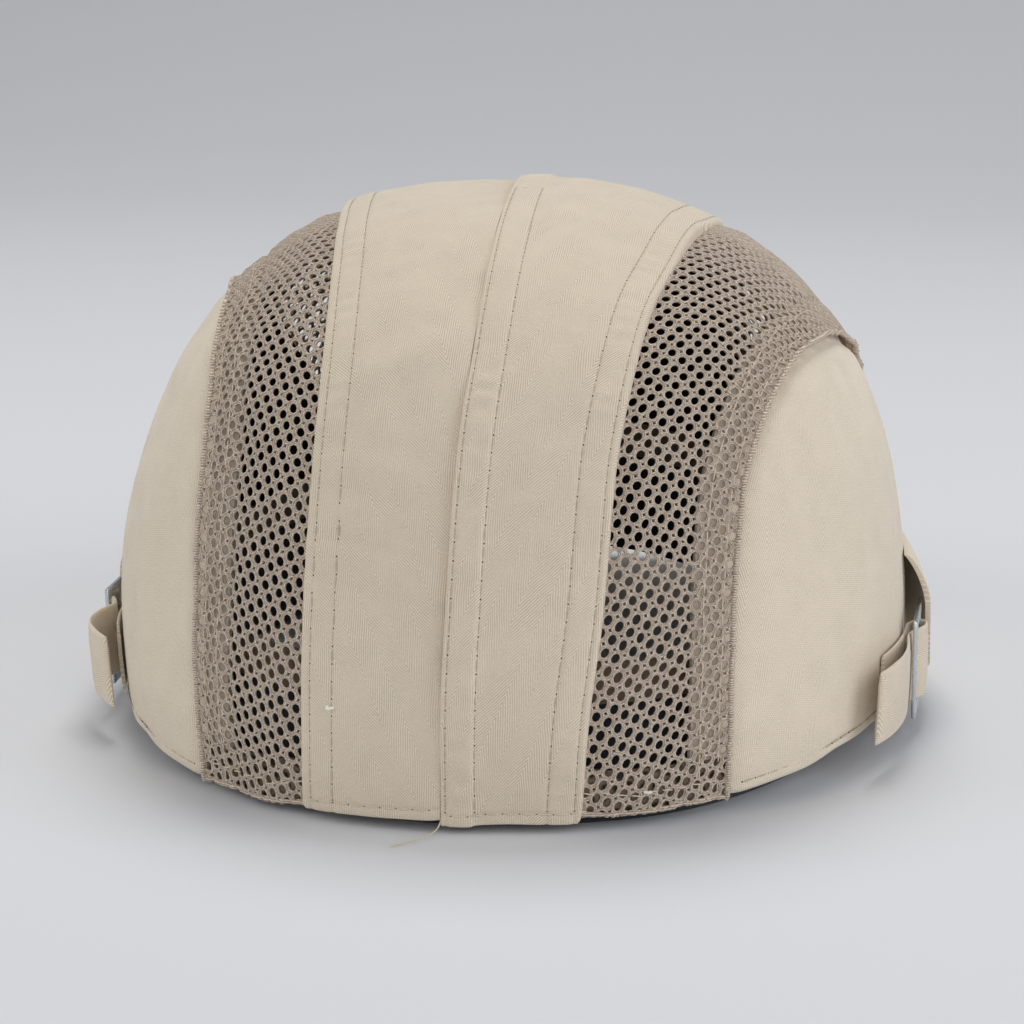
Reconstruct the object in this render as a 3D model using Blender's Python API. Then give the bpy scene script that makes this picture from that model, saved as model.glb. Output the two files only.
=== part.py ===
"""Flat cap with net ventilation panels and a strap adjuster on each side.

The crown is one smooth form, and every panel is a sheet laid on it at its own layer.
Lengths are metres. +Z is up, the peak points along -Y, the wearer's right is -X.
Azimuths run round the crown from the back (0) through the wearer's right side.
"""
import math

import bmesh
import bpy
import numpy as np
from mathutils import Vector

# Crown
CROWN_HALF_WIDTH = 0.0912
CROWN_BACK_REACH = 0.0990
CROWN_FRONT_REACH = 0.1330
CROWN_HEIGHT = 0.1226
SIDE_FULLNESS = 2.52
BACK_FULLNESS = 2.35
FRONT_FULLNESS = 1.75
CROWN_SQUARENESS = 0.30
SIDE_TUCK = 0.0011
BACK_TUCK = 0.0030
TUCK_REACH = 0.0405
HEM_DROP = 0.0025
SIDE_HEM_RISE = 0.0065
HEM_TILT = 0.0013
HEM_LEVEL_TURN = math.radians(24)

# Cloth and its layers
CLOTH = 0.0012
NET = 0.0010
GAP = 0.0004
LAP_CLEARANCE = 0.0008
NET_TUCK_UNDER = 0.0060
SIDE_ALLOWANCE = 0.0090
SIDE_RECESS = 0.0006
SIDE_EASE = 0.0140

# Centre strip
STRIP_HALF_WIDTH = 0.0300
PRESSED_WIDTH = 0.0073
PRESSED_EASE = 0.0026
PRESSED_RISE = 0.0008
STRIP_COLUMNS = (0.0, 0.17, 0.27, 0.52, 0.76, 1.0)
STRIP_ROWS = 40

# Net
NET_BAR = 0.0032
NET_HEM = 0.0100
NET_RIM = 0.0030
NET_GAPS_LONG = 17
NET_GAPS_WIDE = 3

# Sweatband
BAND_WALL = 0.0020
BAND_HEIGHT = 0.0340
BAND_LEAN = 0.0012
BAND_FRONT_REACH = 0.0980

# Peak
PEAK_INSET = 0.0035
PEAK_REACH = 0.1520
PEAK_BLUNTNESS = 2.25
PEAK_WALL = 0.0030
PEAK_LIFT = 0.0170
PEAK_DROOP = 0.0060
PEAK_CORNER = math.radians(58)
PEAK_CLEARANCE = 0.0012

# Adjuster
STRAP_WIDTH = 0.0165
STRAP_WALL = 0.0010
STRAP_HEIGHT = 0.0157
STRAP_STAND_OFF_LEFT = 0.0062
STRAP_STAND_OFF_RIGHT = 0.0050
STRAP_TAIL_LEFT = 0.0415
STRAP_TAIL_RIGHT = 0.0440
STRAP_ANCHOR = 0.0300
STRAP_CLEARANCE = 0.00030
TAIL_END_LEFT = 0.0045
TAIL_END_RIGHT = 0.0063
TAIL_ARCH_LEFT = 0.0035
TAIL_ARCH_RIGHT = 0.0006
BUCKLE_LIFT = 0.0002
BUCKLE_BAR = 0.0026
BUCKLE_SLOT = 0.0080
BUCKLE_WALL = 0.0010
BUCKLE_CLEARANCE = 0.00045
BUCKLE_PLACE = 0.0120
TAB_WALL = 0.0012
TAB_HEIGHT = 0.0260
TAB_TOP = 0.0375
TAB_REAR = -0.0080
TAB_LENGTH = 0.0440
TAB_FLARE_LEFT = 0.0055
TAB_FLARE_RIGHT = 0.0043
TAB_FOLD = 0.0120

# Height inside the crown that its panels are projected from, and how finely they are found
CORE = 0.0300
HALVINGS = 34
RUN_STEPS = 7
TURN_STEPS = 5
SLOT_STEPS = 3
TAIL_STEPS = 5
SEAM_STEPS = 480

# Edges of the centre strip, as shares of STRIP_HALF_WIDTH: how far over the crown the row
# lies, from the back hem (0) to the front hem (1), the left edge, the seam and the right edge
STRIP_EDGES = (
    (0.00, 1.05, 0.04, 0.92),
    (0.07, 1.04, 0.02, 0.98),
    (0.13, 1.03, 0.00, 1.05),
    (0.19, 1.03, -0.01, 1.08),
    (0.24, 1.03, -0.02, 1.10),
    (0.29, 1.04, -0.04, 1.15),
    (0.36, 1.10, -0.05, 1.23),
    (0.44, 1.21, -0.03, 1.36),
    (0.50, 1.31, 0.00, 1.43),
    (0.70, 1.46, 0.00, 1.50),
    (1.00, 1.50, 0.00, 1.50),
)

# Seam between net and side panel: azimuth in degrees, and its height on each side as a
# share of the crown's height over the hem
SIDE_SEAM = (
    (37.0, 0.00, 0.00),
    (36.8, 0.18, 0.17),
    (37.5, 0.36, 0.35),
    (40.5, 0.53, 0.52),
    (46.0, 0.66, 0.62),
    (54.0, 0.75, 0.69),
    (66.0, 0.80, 0.73),
    (86.0, 0.80, 0.72),
    (104.0, 0.74, 0.66),
    (120.0, 0.62, 0.56),
    (134.0, 0.45, 0.42),
    (144.0, 0.25, 0.24),
    (149.0, 0.00, 0.00),
)
SEAM_REAR_CORNER = 4
SEAM_FRONT_CORNER = 10

# Soft dents: azimuth and spread in degrees, height and spread as shares of the crown's
# height, depth as a share of CROWN_HALF_WIDTH
DENTS = (
    (-84.0, 22.0, 0.87, 0.05, 0.008),
    (-62.0, 14.0, 0.70, 0.07, -0.010),
    (-81.0, 45.0, 0.25, 0.20, -0.010),
    (14.0, 30.0, 0.97, 0.10, 0.008),
    (75.0, 45.0, 0.97, 0.08, 0.024),
    (99.0, 45.0, 0.30, 0.26, 0.016),
)

SRGB_TWILL = (0.76, 0.71, 0.63)
SRGB_NET = (0.60, 0.54, 0.47)
SRGB_BAND = (0.14, 0.14, 0.17)
SRGB_STEEL = (0.72, 0.74, 0.76)


def smooth_table(rows, column, way):
    """Value of one column at each way down the table's first column, smoothly joined."""
    table = np.array(rows, float)
    knots, values = table[:, 0], table[:, column]
    slopes = np.gradient(values, knots)
    index = np.clip(np.searchsorted(knots, way, side="right") - 1, 0, len(knots) - 2)
    step = knots[index + 1] - knots[index]
    t = np.clip((way - knots[index]) / step, 0.0, 1.0)
    start = values[index] * (2 * t**3 - 3 * t**2 + 1)
    end = values[index + 1] * (3 * t**2 - 2 * t**3)
    lead = step * slopes[index] * (t**3 - 2 * t**2 + t)
    trail = step * slopes[index + 1] * (t**3 - t**2)
    return start + end + lead + trail


def smooth_step(value):
    t = np.clip(value, 0.0, 1.0)
    return t * t * (3 - 2 * t)


def plan_reach(azimuth, half_width, back, front, power=2.0):
    """Distance from the axis to a rounded plan outline in one direction."""
    sine, cosine = np.sin(azimuth), np.cos(azimuth)
    deep = np.where(cosine >= 0, back, front)
    return (np.abs(sine / half_width) ** power + np.abs(cosine / deep) ** power) ** (-1 / power)


def band_inset():
    """How far the sweatband's outer face lies inside the crown's form."""
    return 2 * CLOTH + NET + 3 * LAP_CLEARANCE


def peak_edges(azimuth):
    """Plan reach of the peak's rear edge, along the sweatband, and of its rim."""
    half_width = CROWN_HALF_WIDTH - SIDE_TUCK - band_inset() + PEAK_CLEARANCE
    front = BAND_FRONT_REACH + PEAK_CLEARANCE
    rear = plan_reach(azimuth, half_width, CROWN_BACK_REACH, front)
    rim_half_width = CROWN_HALF_WIDTH - PEAK_INSET
    rim = plan_reach(azimuth, rim_half_width, CROWN_BACK_REACH, PEAK_REACH, PEAK_BLUNTNESS)
    return rear, rim


def peak_under(x, forward):
    """Height of the peak's underside; forward is 0 at its rear edge and 1 at its rim."""
    corner_x = peak_edges(math.pi - PEAK_CORNER)[1] * math.sin(PEAK_CORNER)
    arch = np.clip(1 - (x / corner_x) ** 2, 0.0, 1.0)
    return (PEAK_LIFT - PEAK_DROOP * forward**2) * arch


def hem_height(azimuth, layer=0.0, tilt=HEM_TILT):
    """Height of the crown's lower edge: low at the back, lifted at the sides and on the peak."""
    turn = np.abs(np.arctan2(np.sin(azimuth), np.cos(azimuth)))
    lifted = (turn - HEM_LEVEL_TURN) / (math.pi / 2 - HEM_LEVEL_TURN)
    free = HEM_DROP + SIDE_HEM_RISE * smooth_step(lifted) + tilt * np.sin(azimuth)
    outline = plan_reach(turn, CROWN_HALF_WIDTH, CROWN_BACK_REACH, CROWN_FRONT_REACH)
    foot = outline + layer - CLOTH
    rear, rim = peak_edges(turn)
    forward = np.clip((foot - rear) / np.maximum(rim - rear, GAP), 0.0, 1.0)
    on_peak = peak_under(foot * np.sin(turn), forward) + PEAK_WALL + GAP
    blend = smooth_step((turn - math.pi / 2) / (math.pi / 2 - PEAK_CORNER))
    return free * (1 - blend) + on_peak * blend


def dent_depth(azimuth, share):
    depth = np.zeros(np.broadcast(azimuth, share).shape)
    for turn, turn_spread, height, height_spread, dent in DENTS:
        across = (np.degrees(azimuth) - turn) / turn_spread
        along = (share - height) / height_spread
        depth = depth + dent * CROWN_HALF_WIDTH * np.exp(-(across**2) - along**2)
    return depth


def section(azimuth, share, layer):
    """Plan reach at the hem and fullness of the crown's section in one direction."""
    sine, cosine = np.sin(azimuth), np.cos(azimuth)
    slack = np.clip(1 - share * CROWN_HEIGHT / TUCK_REACH, 0.0, 1.0) ** 2
    grow = layer - dent_depth(azimuth, share)
    half_width = CROWN_HALF_WIDTH + grow - SIDE_TUCK * slack
    back = CROWN_BACK_REACH + grow - BACK_TUCK * slack
    front = CROWN_FRONT_REACH + grow
    power = 2.0 + CROWN_SQUARENESS * np.clip(share, 0.0, 1.0)
    reach = plan_reach(azimuth, half_width, back, front, power)
    end_fullness = np.where(cosine >= 0, BACK_FULLNESS, FRONT_FULLNESS)
    fullness = SIDE_FULLNESS * sine**2 + end_fullness * cosine**2
    return reach, fullness


def crown_point(azimuth, share, layer=0.0):
    """Point of the crown at an azimuth and a share of its height over the hem."""
    azimuth, share = np.broadcast_arrays(np.asarray(azimuth, float), np.asarray(share, float))
    reach, fullness = section(azimuth, share, layer)
    reach = reach * np.clip(1 - share**fullness, 0.0, 1.0) ** (1 / fullness)
    hem = hem_height(azimuth, layer)
    height = hem + share * (CROWN_HEIGHT + layer - hem)
    return np.stack((-reach * np.sin(azimuth), reach * np.cos(azimuth), height), axis=-1)


def beyond_crown(points, layer):
    """True for the points that lie outside the crown's form."""
    flat = np.hypot(points[..., 0], points[..., 1])
    azimuth = np.arctan2(-points[..., 0], points[..., 1])
    hem = hem_height(azimuth, layer)
    share = np.maximum((points[..., 2] - hem) / (CROWN_HEIGHT + layer - hem), 0.0)
    reach, fullness = section(azimuth, np.minimum(share, 1.0), layer)
    return share**fullness + (flat / reach) ** fullness > 1.0


def meet_crown(start, direction, layer):
    """Where rays from inside meet the crown's form."""
    direction = direction / np.linalg.norm(direction, axis=-1, keepdims=True)
    near = np.zeros(direction.shape[:-1])
    far = np.full(direction.shape[:-1], 2 * CROWN_FRONT_REACH)
    for _ in range(HALVINGS):
        middle = (near + far) / 2
        outside = beyond_crown(start + direction * middle[..., None], layer)
        far = np.where(outside, middle, far)
        near = np.where(outside, near, middle)
    return start + direction * near[..., None]


def onto_crown(points, layer):
    core = np.array((0.0, 0.0, CORE))
    return meet_crown(core, points - core, layer)


def onto_hem(points, layer):
    """The hem's points at the same azimuths."""
    return crown_point(np.arctan2(-points[..., 0], points[..., 1]), 0.0, layer)


def strip_point(way, x, layer):
    """Point of the crown over the line x, from the back hem (way 0) to the front hem (1)."""
    way, x = np.broadcast_arrays(way, x)
    ends = []
    for end in (1, -1):
        deep = CROWN_BACK_REACH - BACK_TUCK if end > 0 else CROWN_FRONT_REACH
        half_width = CROWN_HALF_WIDTH - SIDE_TUCK
        y = end * deep * np.sqrt(1 - (x / half_width) ** 2)
        angle = np.arctan2(hem_height(np.arctan2(-x, y)) - CORE, y)
        ends.append(np.where(angle < -math.pi / 2, angle + 2 * math.pi, angle))
    angle = ends[0] + (ends[1] - ends[0]) * way
    zero = np.zeros_like(angle)
    start = np.stack((x, zero, zero + CORE), axis=-1)
    direction = np.stack((zero, np.cos(angle), np.sin(angle)), axis=-1)
    return meet_crown(start, direction, layer)


def strip_edge(way, side, inward=0.0):
    """x of the centre strip's edge; side is 1 for the wearer's left, -1 for the right."""
    column = 1 if side > 0 else 3
    return side * (smooth_table(STRIP_EDGES, column, way) * STRIP_HALF_WIDTH - inward)


def strip_seam(way):
    return smooth_table(STRIP_EDGES, 2, way) * STRIP_HALF_WIDTH


def seam_curve(side, first, last, count):
    """Evenly spaced points along the side seam between two rows of its table."""
    column = 1 if side > 0 else 2
    rows = [(row, line[0], line[column]) for row, line in enumerate(SIDE_SEAM)]
    rank = np.linspace(first, last, 24 * count)
    azimuth = -side * np.radians(smooth_table(rows, 1, rank))
    share = np.clip(smooth_table(rows, 2, rank), 0.0, 1.0)
    return even_points(crown_point(azimuth, share), count)


def even_points(points, count):
    """The same curve through a number of points at equal distances."""
    steps = np.linalg.norm(np.diff(points, axis=0), axis=1)
    length = np.concatenate(([0.0], np.cumsum(steps)))
    places = np.linspace(0.0, length[-1], count)
    return np.stack([np.interp(places, length, points[:, axis]) for axis in range(3)], axis=-1)


def push_out(points, distance, side):
    """A seam's points moved over the crown, away from the side panel."""
    along = np.gradient(points, axis=0)
    outward = points - np.array((0.0, 0.0, CORE))
    across = np.cross(along, outward) * side
    across = across / np.linalg.norm(across, axis=1, keepdims=True)
    pushed = onto_crown(points + across * distance, 0.0)
    pushed[[0, -1]] = onto_hem(pushed[[0, -1]], 0.0)
    return pushed


def srgb(colour):
    """Linear colour of sRGB shares."""
    return tuple(((c + 0.055) / 1.055) ** 2.4 for c in colour) + (1.0,)


def finish(name, colour, roughness, metallic):
    material = bpy.data.materials.new(name)
    material.use_nodes = True
    shader = material.node_tree.nodes["Principled BSDF"]
    shader.inputs["Base Color"].default_value = srgb(colour)
    shader.inputs["Roughness"].default_value = roughness
    shader.inputs["Metallic"].default_value = metallic
    material.diffuse_color = srgb(colour)
    return material


def grid(columns, rows):
    """A sheet of faces over the unit square, and its corners as column and row numbers."""
    sheet = bmesh.new()
    bmesh.ops.create_grid(sheet, x_segments=columns, y_segments=rows, size=0.5)
    sheet.verts.ensure_lookup_table()
    corners = np.array([vertex.co[:2] for vertex in sheet.verts]) + 0.5
    column = np.rint(corners[:, 0] * columns).astype(int)
    row = np.rint(corners[:, 1] * rows).astype(int)
    return sheet, column, row


def place(sheet, points):
    for vertex, point in zip(sheet.verts, points):
        vertex.co = point


def turn_outward(sheet, centre):
    """Turn every face of an open sheet away from a point."""
    sheet.normal_update()
    face = next(iter(sheet.faces))
    outward = np.array(face.calc_center_median()) - np.array(centre)
    if np.dot(outward, np.array(face.normal)) < 0:
        bmesh.ops.reverse_faces(sheet, faces=list(sheet.faces))


def back_with(sheet, move):
    """Close a sheet into a solid with a second face, each corner of it moved by a vector."""
    everything = list(sheet.verts) + list(sheet.edges) + list(sheet.faces)
    result = bmesh.ops.extrude_face_region(sheet, geom=everything, use_keep_orig=True)
    for vertex in result["geom"]:
        if isinstance(vertex, bmesh.types.BMVert):
            vertex.co += move(vertex.co)
    bmesh.ops.recalc_face_normals(sheet, faces=list(sheet.faces))


def piece_of(name, sheet, material):
    mesh = bpy.data.meshes.new(name)
    sheet.to_mesh(mesh)
    sheet.free()
    mesh.materials.append(material)
    mesh.shade_smooth()
    mesh.set_sharp_from_angle(angle=math.radians(40))
    piece = bpy.data.objects.new(name, mesh)
    bpy.context.scene.collection.objects.link(piece)
    return piece


def solid(name, sheet, wall, material, offset=-1.0):
    """An object made of a sheet with a wall; offset -1 thickens it inwards."""
    piece = piece_of(name, sheet, material)
    thicken = piece.modifiers.new("wall", "SOLIDIFY")
    thicken.thickness = wall
    thicken.offset = offset
    thicken.use_even_offset = True
    return piece


def centre_panel(name, side, material):
    """Half of the centre strip. The right half carries the pressed seam allowance."""
    spacing = np.array(STRIP_COLUMNS)
    sheet, column, row = grid(len(spacing) - 1, STRIP_ROWS)
    way = row / STRIP_ROWS
    inner = strip_seam(way) + side * GAP / 2
    outer = strip_edge(way, side)
    x = inner + (outer - inner) * spacing[column]
    rise = np.zeros_like(x)
    if side < 0:
        past = (np.abs(x - inner) - PRESSED_WIDTH) / PRESSED_EASE
        rise = PRESSED_RISE * (1 - smooth_step(past + 0.5))
    place(sheet, strip_point(way, x, rise))
    turn_outward(sheet, (0.0, 0.0, CORE))
    return solid(name, sheet, CLOTH, material)


def net_panel(name, side, material):
    """Net with its gaps cut through, tucked under the strip and lapped over the side panel."""
    rows = 2 * NET_GAPS_LONG + 2
    columns = NET_GAPS_WIDE + 2
    sheet, column, row = grid(columns, rows)
    seam = seam_curve(side, 0, len(SIDE_SEAM) - 1, SEAM_STEPS + 1)
    ways = np.linspace(0.0, 1.0, SEAM_STEPS + 1)
    edge = strip_point(ways, strip_edge(ways, side, NET_TUCK_UNDER), 0.0)
    hem_share = NET_HEM / np.linalg.norm(np.diff(seam, axis=0), axis=1).sum()
    gap_rows = hem_share + (1 - 2 * hem_share) * (row - 1) / (rows - 2)
    way = np.where(row == 0, 0.0, np.where(row == rows, 1.0, gap_rows))
    near = np.stack([np.interp(way, ways, edge[:, axis]) for axis in range(3)], axis=-1)
    far = np.stack([np.interp(way, ways, seam[:, axis]) for axis in range(3)], axis=-1)
    width = np.linalg.norm(far - near, axis=1)
    first = (NET_TUCK_UNDER + NET_RIM) / width
    last = 1 - SIDE_ALLOWANCE / width
    middle = first + (last - first) * (column - 1) / NET_GAPS_WIDE
    across = np.where(column == 0, 0.0, np.where(column == columns, 1.0, middle))
    points = near + (far - near) * across[:, None]
    layer = -(CLOTH + LAP_CLEARANCE)
    at_hem = ((row == 0) | (row == rows))[:, None]
    place(sheet, np.where(at_hem, onto_hem(points, layer), onto_crown(points, layer)))
    turn_outward(sheet, (0.0, 0.0, CORE))

    numbers = {vertex.index: (column[vertex.index], row[vertex.index]) for vertex in sheet.verts}
    gaps = {}
    for face in sheet.faces:
        low_column = min(numbers[vertex.index][0] for vertex in face.verts)
        low_row = min(numbers[vertex.index][1] for vertex in face.verts)
        if 1 <= low_column <= NET_GAPS_WIDE and 1 <= low_row <= rows - 2:
            gaps.setdefault((low_column, (low_row - 1) // 2), []).append(face)
    for faces in gaps.values():
        bmesh.ops.inset_region(sheet, faces=faces, thickness=NET_BAR / 2, use_even_offset=True)
    openings = [face for faces in gaps.values() for face in faces]
    bmesh.ops.delete(sheet, geom=openings, context="FACES")
    return solid(name, sheet, NET, material)


def side_panel(name, side, material):
    """Side panel, whose edge runs on under the net as a seam allowance."""
    columns, rows = 22, 10
    sheet, column, row = grid(columns, rows)
    last = len(SIDE_SEAM) - 1
    rim = push_out(seam_curve(side, 0, last, SEAM_STEPS + 1), SIDE_ALLOWANCE, side)
    rear_end = round(SEAM_STEPS * SEAM_REAR_CORNER / last)
    front_end = round(SEAM_STEPS * SEAM_FRONT_CORNER / last)
    rear = even_points(rim[: rear_end + 1], rows + 1)
    front = even_points(rim[front_end:][::-1], rows + 1)
    top = even_points(rim[rear_end : front_end + 1], columns + 1)
    turns = np.arctan2(side * rim[(0, -1), 0], rim[(0, -1), 1])
    turns = np.linspace(turns[0], turns[1], columns + 1)
    hem = crown_point(-side * turns, 0.0)
    a = (column / columns)[:, None]
    b = (row / rows)[:, None]
    ruled = (1 - b) * hem[column] + b * top[column] + (1 - a) * rear[row] + a * front[row]
    low_corners = (1 - b) * ((1 - a) * hem[0] + a * hem[-1])
    high_corners = b * ((1 - a) * top[0] + a * top[-1])
    points = onto_crown(ruled - low_corners - high_corners, 0.0)
    nearest = np.linalg.norm(points[:, None] - rim[None], axis=2).min(axis=1)
    ease = smooth_step((nearest - SIDE_ALLOWANCE) / SIDE_EASE)
    under = CLOTH + NET + 2 * LAP_CLEARANCE
    layer = -under + (under - SIDE_RECESS) * ease
    points = np.where((row == 0)[:, None], onto_hem(points, layer), onto_crown(points, layer))
    place(sheet, points)
    turn_outward(sheet, (0.0, 0.0, CORE))
    return solid(name, sheet, CLOTH, material)


def sweatband(name, material):
    """Turned band round the head opening, its lower edge just under the crown's hem."""
    turns, rows = 64, 3
    sheet, column, row = grid(turns, rows)
    azimuth = 2 * math.pi * column / turns
    lean = band_inset() + BAND_LEAN * row / rows
    half_width = CROWN_HALF_WIDTH - SIDE_TUCK - lean
    back = CROWN_BACK_REACH - BACK_TUCK - lean
    reach = plan_reach(azimuth, half_width, back, BAND_FRONT_REACH - lean + band_inset())
    height = hem_height(azimuth, tilt=0.0) - HEM_DROP + BAND_HEIGHT * row / rows
    place(sheet, np.stack((-reach * np.sin(azimuth), reach * np.cos(azimuth), height), axis=-1))
    bmesh.ops.remove_doubles(sheet, verts=list(sheet.verts), dist=GAP / 4)
    back_with(sheet, lambda corner: -BAND_WALL * Vector((corner.x, corner.y, 0.0)).normalized())
    return piece_of(name, sheet, material)


def peak(name, material):
    """Stiff arched peak, from the sweatband's front out past the crown."""
    columns, rows = 24, 6
    sheet, column, row = grid(columns, rows)
    turn = math.pi + PEAK_CORNER * (2 * column / columns - 1)
    rear, rim = peak_edges(turn)
    forward = row / rows
    reach = rear + (rim - rear) * forward
    x = -reach * np.sin(turn)
    height = peak_under(x, forward) + PEAK_WALL
    place(sheet, np.stack((x, reach * np.cos(turn), height), axis=-1))
    back_with(sheet, lambda corner: Vector((0.0, 0.0, -PEAK_WALL)))
    return piece_of(name, sheet, material)


def beside_crown(y, height, stand_off, side):
    """Point at a distance from the side panel's face, on the level of the strap."""
    shape = np.broadcast(y, height, stand_off).shape
    y, height = np.broadcast_to(y, shape), np.broadcast_to(height, shape)
    zero = np.zeros(shape)
    start = np.stack((zero, y, height), axis=-1)
    face = meet_crown(start, np.stack((zero + side, zero, zero), axis=-1), -SIDE_RECESS)
    face[..., 0] += side * stand_off
    return face


def strap_path(tail, end, arch, stand_off):
    """Rows of y and stand-off: sewn end, round the middle bar, under the rear bar, to the tail."""
    wrap = (BUCKLE_WALL + STRAP_WALL) / 2 + BUCKLE_CLEARANCE
    under = stand_off - 2 * wrap
    inner = STRAP_WALL / 2 + STRAP_CLEARANCE
    bar_rear = BUCKLE_PLACE - BUCKLE_BAR - BUCKLE_SLOT
    bar_front = bar_rear - BUCKLE_BAR
    route = []
    for step in range(RUN_STEPS + 1):
        route.append((STRAP_ANCHOR + (bar_rear - STRAP_ANCHOR) * step / RUN_STEPS, inner))
    for step in range(TURN_STEPS + 1):
        angle = math.pi * step / TURN_STEPS
        route.append((
            bar_front - wrap * math.sin(angle),
            stand_off - wrap - wrap * math.cos(angle),
        ))
    for step in range(SLOT_STEPS + 1):
        part = step / SLOT_STEPS
        route.append((
            bar_rear + BUCKLE_SLOT * part,
            stand_off - 2 * wrap * smooth_step(part),
        ))
    for step in range(TAIL_STEPS + 1):
        part = step / TAIL_STEPS
        route.append((
            BUCKLE_PLACE + (tail - BUCKLE_PLACE) * part,
            under + (end - under) * part + arch * math.sin(math.pi * part),
        ))
    return np.array(route)


def strap(name, side, tail, end, arch, stand_off, material):
    route = strap_path(tail, end, arch, stand_off)
    columns = len(route) - 1
    sheet, column, row = grid(columns, 2)
    height = STRAP_HEIGHT + STRAP_WIDTH * (row / 2 - 0.5)
    place(sheet, beside_crown(route[column, 0], height, route[column, 1], side))
    bmesh.ops.recalc_face_normals(sheet, faces=list(sheet.faces))
    return solid(name, sheet, STRAP_WALL, material, offset=0.0)


def buckle(name, side, stand_off, material):
    """Flat slide buckle with three bars and two slots."""
    bar, slot = BUCKLE_BAR, BUCKLE_SLOT
    along = np.cumsum((0.0, bar, slot, bar, slot, bar))
    inside = STRAP_WIDTH + 2 * BUCKLE_CLEARANCE
    across = np.cumsum((0.0, bar, inside, bar)) - bar - inside / 2
    sheet, column, row = grid(len(along) - 1, len(across) - 1)
    wrap = (BUCKLE_WALL + STRAP_WALL) / 2 + BUCKLE_CLEARANCE
    y = BUCKLE_PLACE - along
    z = STRAP_HEIGHT + across
    lift = stand_off - wrap + BUCKLE_LIFT
    corners = beside_crown(y[[0, -1], None], z[None, [0, -1]], lift, side)[..., 0]
    a = along[column] / along[-1]
    b = (z[row] - z[0]) / (z[-1] - z[0])
    rear = (1 - b) * corners[0, 0] + b * corners[0, 1]
    front = (1 - b) * corners[1, 0] + b * corners[1, 1]
    place(sheet, np.stack(((1 - a) * rear + a * front, y[column], z[row]), axis=-1))
    slots = []
    for face in sheet.faces:
        low_column = min(column[vertex.index] for vertex in face.verts)
        low_row = min(row[vertex.index] for vertex in face.verts)
        if low_row == 1 and low_column in (1, 3):
            slots.append(face)
    bmesh.ops.delete(sheet, geom=slots, context="FACES")
    bmesh.ops.recalc_face_normals(sheet, faces=list(sheet.faces))
    return solid(name, sheet, BUCKLE_WALL, material, offset=0.0)


def tab(name, side, flaring, material):
    """Flap sewn to the side in front of the buckle, flaring out over it towards the back."""
    columns, rows = 8, 6
    sheet, column, row = grid(columns, rows)
    back = column / columns
    y = TAB_REAR - TAB_LENGTH * (1 - back)
    height = TAB_TOP - TAB_HEIGHT * (1 - row / rows)
    fold = np.sin(np.clip((TAB_TOP - height) / TAB_FOLD, 0.0, 1.0) * math.pi / 2) ** 0.7
    flare = flaring * np.sin(back * math.pi / 2) * fold
    place(sheet, beside_crown(y, height, TAB_WALL / 2 + STRAP_CLEARANCE + flare, side))
    bmesh.ops.recalc_face_normals(sheet, faces=list(sheet.faces))
    return solid(name, sheet, TAB_WALL, material, offset=0.0)


def centre_on_origin(pieces):
    """Move every piece so that the cap stands on z = 0, centred on x = 0 and y = 0."""
    bpy.context.view_layer.update()
    depsgraph = bpy.context.evaluated_depsgraph_get()
    corners = []
    for piece in pieces:
        shape = piece.evaluated_get(depsgraph).to_mesh()
        corners.extend(tuple(vertex.co) for vertex in shape.vertices)
    low, high = np.min(corners, axis=0), np.max(corners, axis=0)
    for piece in pieces:
        for vertex in piece.data.vertices:
            vertex.co.x -= (low[0] + high[0]) / 2
            vertex.co.y -= (low[1] + high[1]) / 2
            vertex.co.z -= low[2]


def build():
    for existing in list(bpy.data.objects):
        bpy.data.objects.remove(existing, do_unlink=True)
    twill = {side: finish("twill_" + side, SRGB_TWILL, 0.9, 0.0) for side in ("left", "right")}
    pieces = []
    adjusters = (
        ("left", 1, (STRAP_TAIL_LEFT, TAIL_END_LEFT, TAIL_ARCH_LEFT), STRAP_STAND_OFF_LEFT,
         TAB_FLARE_LEFT),
        ("right", -1, (STRAP_TAIL_RIGHT, TAIL_END_RIGHT, TAIL_ARCH_RIGHT), STRAP_STAND_OFF_RIGHT,
         TAB_FLARE_RIGHT),
    )
    for word, side, tail, stand_off, flaring in adjusters:
        net = finish("net_" + word, SRGB_NET, 0.8, 0.0)
        steel = finish("steel_" + word, SRGB_STEEL, 0.3, 1.0)
        pieces.append(centre_panel("centre_panel_" + word, side, twill[word]))
        pieces.append(net_panel("net_panel_" + word, side, net))
        pieces.append(side_panel("side_panel_" + word, side, twill[word]))
        pieces.append(strap("strap_" + word, side, *tail, stand_off, twill[word]))
        pieces.append(buckle("buckle_" + word, side, stand_off, steel))
        pieces.append(tab("tab_" + word, side, flaring, twill[word]))
    pieces.append(sweatband("sweatband", finish("band", SRGB_BAND, 0.85, 0.0)))
    pieces.append(peak("peak", finish("peak_twill", SRGB_TWILL, 0.9, 0.0)))
    centre_on_origin(pieces)


build()
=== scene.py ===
import math

import bmesh
import bpy
import numpy as np
from mathutils import Matrix, Vector, noise


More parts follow.
